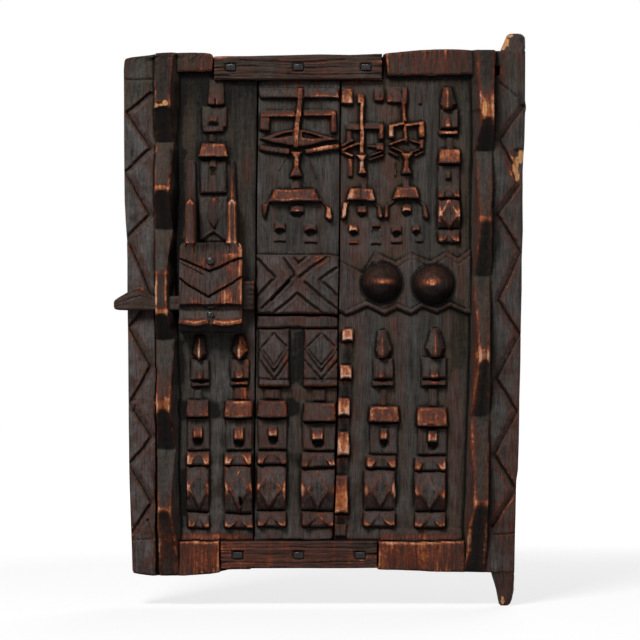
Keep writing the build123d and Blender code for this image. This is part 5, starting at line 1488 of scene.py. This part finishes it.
bolt.height += 23.8 - 2.5 * unit(1 - (bolt.column - 114.3) / 10) ** 2
bolt.groove([(128, 300), (141, 296), (152, 300)], 2, 0.8)
bolt.tone += 0.06
bolt.paintedShadeAndSoot += 0.45
for spot in boltLook["wearAndHighlightSpots"]:
    bolt.paint(*spot)
boltBack = lambda c, r: np.where(c > 204, floorY - 0.0005, floorY - 0.009)
boltPiece = bolt.finish("beakedLockBolt", 0.18, rim=2.2, alongRows=False, back=boltBack, backGrid=(10, 199))
# the seats come under the tumblers when the bolt is thrown
seats = [flipped(rodCutter(x + boltThrow, lockY, seatFoot, seatTop, channelRadius)) for x in tumblerX]
keySlot = boxCutter(tumblerX[0] + 0.027, -0.3263, floorY - 0.018, floorY - 0.006, seatFoot, keySlotTop)
cutFrom(boltPiece, seats + [keySlot])
dress(boltPiece, woods["lock"], "bolt", "lock_wood", "lock_bolt")

# the bolt's passage through the rib of the left plank
cutFrom(leftPiece,
        [boxCutter(acrossLeaf(152), acrossLeaf(178), tunnelFront, floorY - 0.0085, tunnelFoot, 0.4035)])
print("bolt laid in")


def spike(name, column, row, seat, front, radius, seed):
    # square shank, then a hammered head: rings of (height over floor, radius, squareness)
    stations = [(-15.8, 0.3, 8), (-14, 1.2, 8), (-5, 1.7, 8), (seat - 0.4, 1.75, 8),
                (seat, radius * 0.82, 2.3), (seat + 0.5, radius * 0.97, 2.2), (seat + 1.0, radius, 2.2),
                (front - 1.1, radius * 0.86, 2.2), (front - 0.4, radius * 0.6, 2.1),
                (front - 0.05, radius * 0.3, 2)]
    angle = np.linspace(0, 2 * math.pi, 32, endpoint=False)
    rings = []
    lump = 1 + 0.05 * softNoise((len(stations), 32), 0.8, 2.5, seed)
    for number, (height, reach, corner) in enumerate(stations):
        u, v = squarish(angle, 2 / corner)
        rings.append(np.stack([acrossLeaf(column) + reach / 1000 * u * lump[number],
                               np.full(32, floorY - height / 1000),
                               upLeaf(row) + reach / 1000 * v * lump[number]], -1))
    return flipped(tube(name, np.array(rings)))


spikeLooks = dict(
    upper=dict(column=211.3, row=261.4, seat=38.5, front=43.5, radius=5.0),
    lower=dict(column=211.3, row=315.2, seat=34.5, front=38.3, radius=4.6))
for name, look in spikeLooks.items():
    dress(spike(name + "SpikeHead", **look, seed=111), iron, "leaf", "iron", name + "_spike")
for stub in (upperStub, lowerStub):
    flipped(stub)
for piece in bpy.data.objects:
    if piece.name.endswith("Staple"):
        flipped(piece)
for name in ("left_tumbler", "middle_tumbler", "right_tumbler"):
    node = frame["nodes"][name]
    node.data.materials.clear()
    node.data.materials.append(iron)
print("iron fitted")


def seenStraight(w):
    # 1 where a surface is seen, straight, in a reflection or through something; 0 where it only sends light
    path = w.node("ShaderNodeLightPath")
    return w.math("MAXIMUM", path.outputs["Is Camera Ray"],
                  w.math("MAXIMUM", path.outputs["Is Glossy Ray"], path.outputs["Is Transmission Ray"]))


def paperMaterial(look):
    # paper that shows white; near the object a share of it is lit, so that the shadow stays on it
    made, w = blankMaterial("paper")
    seen = seenStraight(w)
    away = w.node("ShaderNodeVectorMath", operation="LENGTH")
    w.link(w.node("ShaderNodeTexCoord").outputs["Object"], away.inputs[0])
    far = w.between(away.outputs["Value"], look["litReach"], look["whiteReach"])
    paper, glow = w.node("ShaderNodeBsdfDiffuse"), w.node("ShaderNodeEmission")
    glow.inputs["Color"].default_value = (1, 1, 1, 1)
    both, out = w.node("ShaderNodeAddShader"), w.node("ShaderNodeOutputMaterial")
    w.link(w.mix(seen, look["bounce"], look["paper"]), paper.inputs["Color"])
    w.link(w.math("MULTIPLY", seen, w.between(far, 0.0, 1.0, look["glow"], 1.0)), glow.inputs["Strength"])
    w.link(paper.outputs[0], both.inputs[0])
    w.link(glow.outputs[0], both.inputs[1])
    w.link(both.outputs[0], out.inputs["Surface"])
    return made


stageLook = dict(
    floorLevel=-0.0136, paper=(0.3, 0.3, 0.3, 1), bounce=(0.25, 0.25, 0.25, 1), glow=0.72, litReach=0.9,
    whiteReach=2.2, key=(-0.95, -2.25, 2.1), keyPower=98.0, keySize=1.1, fill=(1.9, -2.3, 0.5), fillPower=7.0,
    fillSize=1.8, back=(0.9, 2.5, 1.3), backPower=40.0, backSize=1.8, ambient=0.11)
objectCentre = np.array((-0.2422, 0.0, 0.3588))
level = stageLook["floorLevel"]
floor = newMesh("paperFloor", [(-6, -6, level), (6, -6, level), (6, 6, level), (-6, 6, level)],
                [(0, 1, 2, 3)])
floor.data.materials.append(paperMaterial(stageLook))


def softLight(name, offset, power, size):
    data = bpy.data.lights.new(name, "AREA")
    data.energy, data.size, data.shape = power, size, "DISK"
    lamp = bpy.data.objects.new(name, data)
    bpy.context.scene.collection.objects.link(lamp)
    lamp.location = objectCentre + np.array(offset)
    toward = Vector(tuple(-np.array(offset)))
    lamp.rotation_euler = toward.to_track_quat("-Z", "Y").to_euler()


softLight("keyLight", stageLook["key"], stageLook["keyPower"], stageLook["keySize"])
softLight("fillLight", stageLook["fill"], stageLook["fillPower"], stageLook["fillSize"])
softLight("backLight", stageLook["back"], stageLook["backPower"], stageLook["backSize"])
world = bpy.data.worlds.new("whiteRoom")
bpy.context.scene.world = world
world.use_nodes = True
world.node_tree.nodes.clear()
w = Wiring(world.node_tree)
seen = seenStraight(w)
backdrop = w.node("ShaderNodeBackground")
backdrop.inputs["Color"].default_value = (1, 1, 1, 1)
w.link(w.math("ADD", w.math("MULTIPLY", seen, 1 - stageLook["ambient"]), stageLook["ambient"]),
       backdrop.inputs["Strength"])
w.link(backdrop.outputs[0], w.node("ShaderNodeOutputWorld").inputs["Surface"])

cameraLook = dict(middle=320, distance=4.016, sensor=36.0, focus=4.0, picture=640)
camera = bpy.data.objects.new("frontCamera", bpy.data.cameras.new("frontCamera"))
bpy.context.scene.collection.objects.link(camera)
camera.location = (acrossLeaf(cameraLook["middle"]), -cameraLook["distance"], upLeaf(cameraLook["middle"]))
camera.rotation_euler = (math.radians(90), 0, 0)
camera.data.sensor_width = cameraLook["sensor"]
camera.data.lens = cameraLook["sensor"] * cameraLook["focus"] / (cameraLook["picture"] * square)
bpy.context.scene.camera = camera
bpy.context.scene.view_settings.view_transform = "Standard"

print("scene ready")
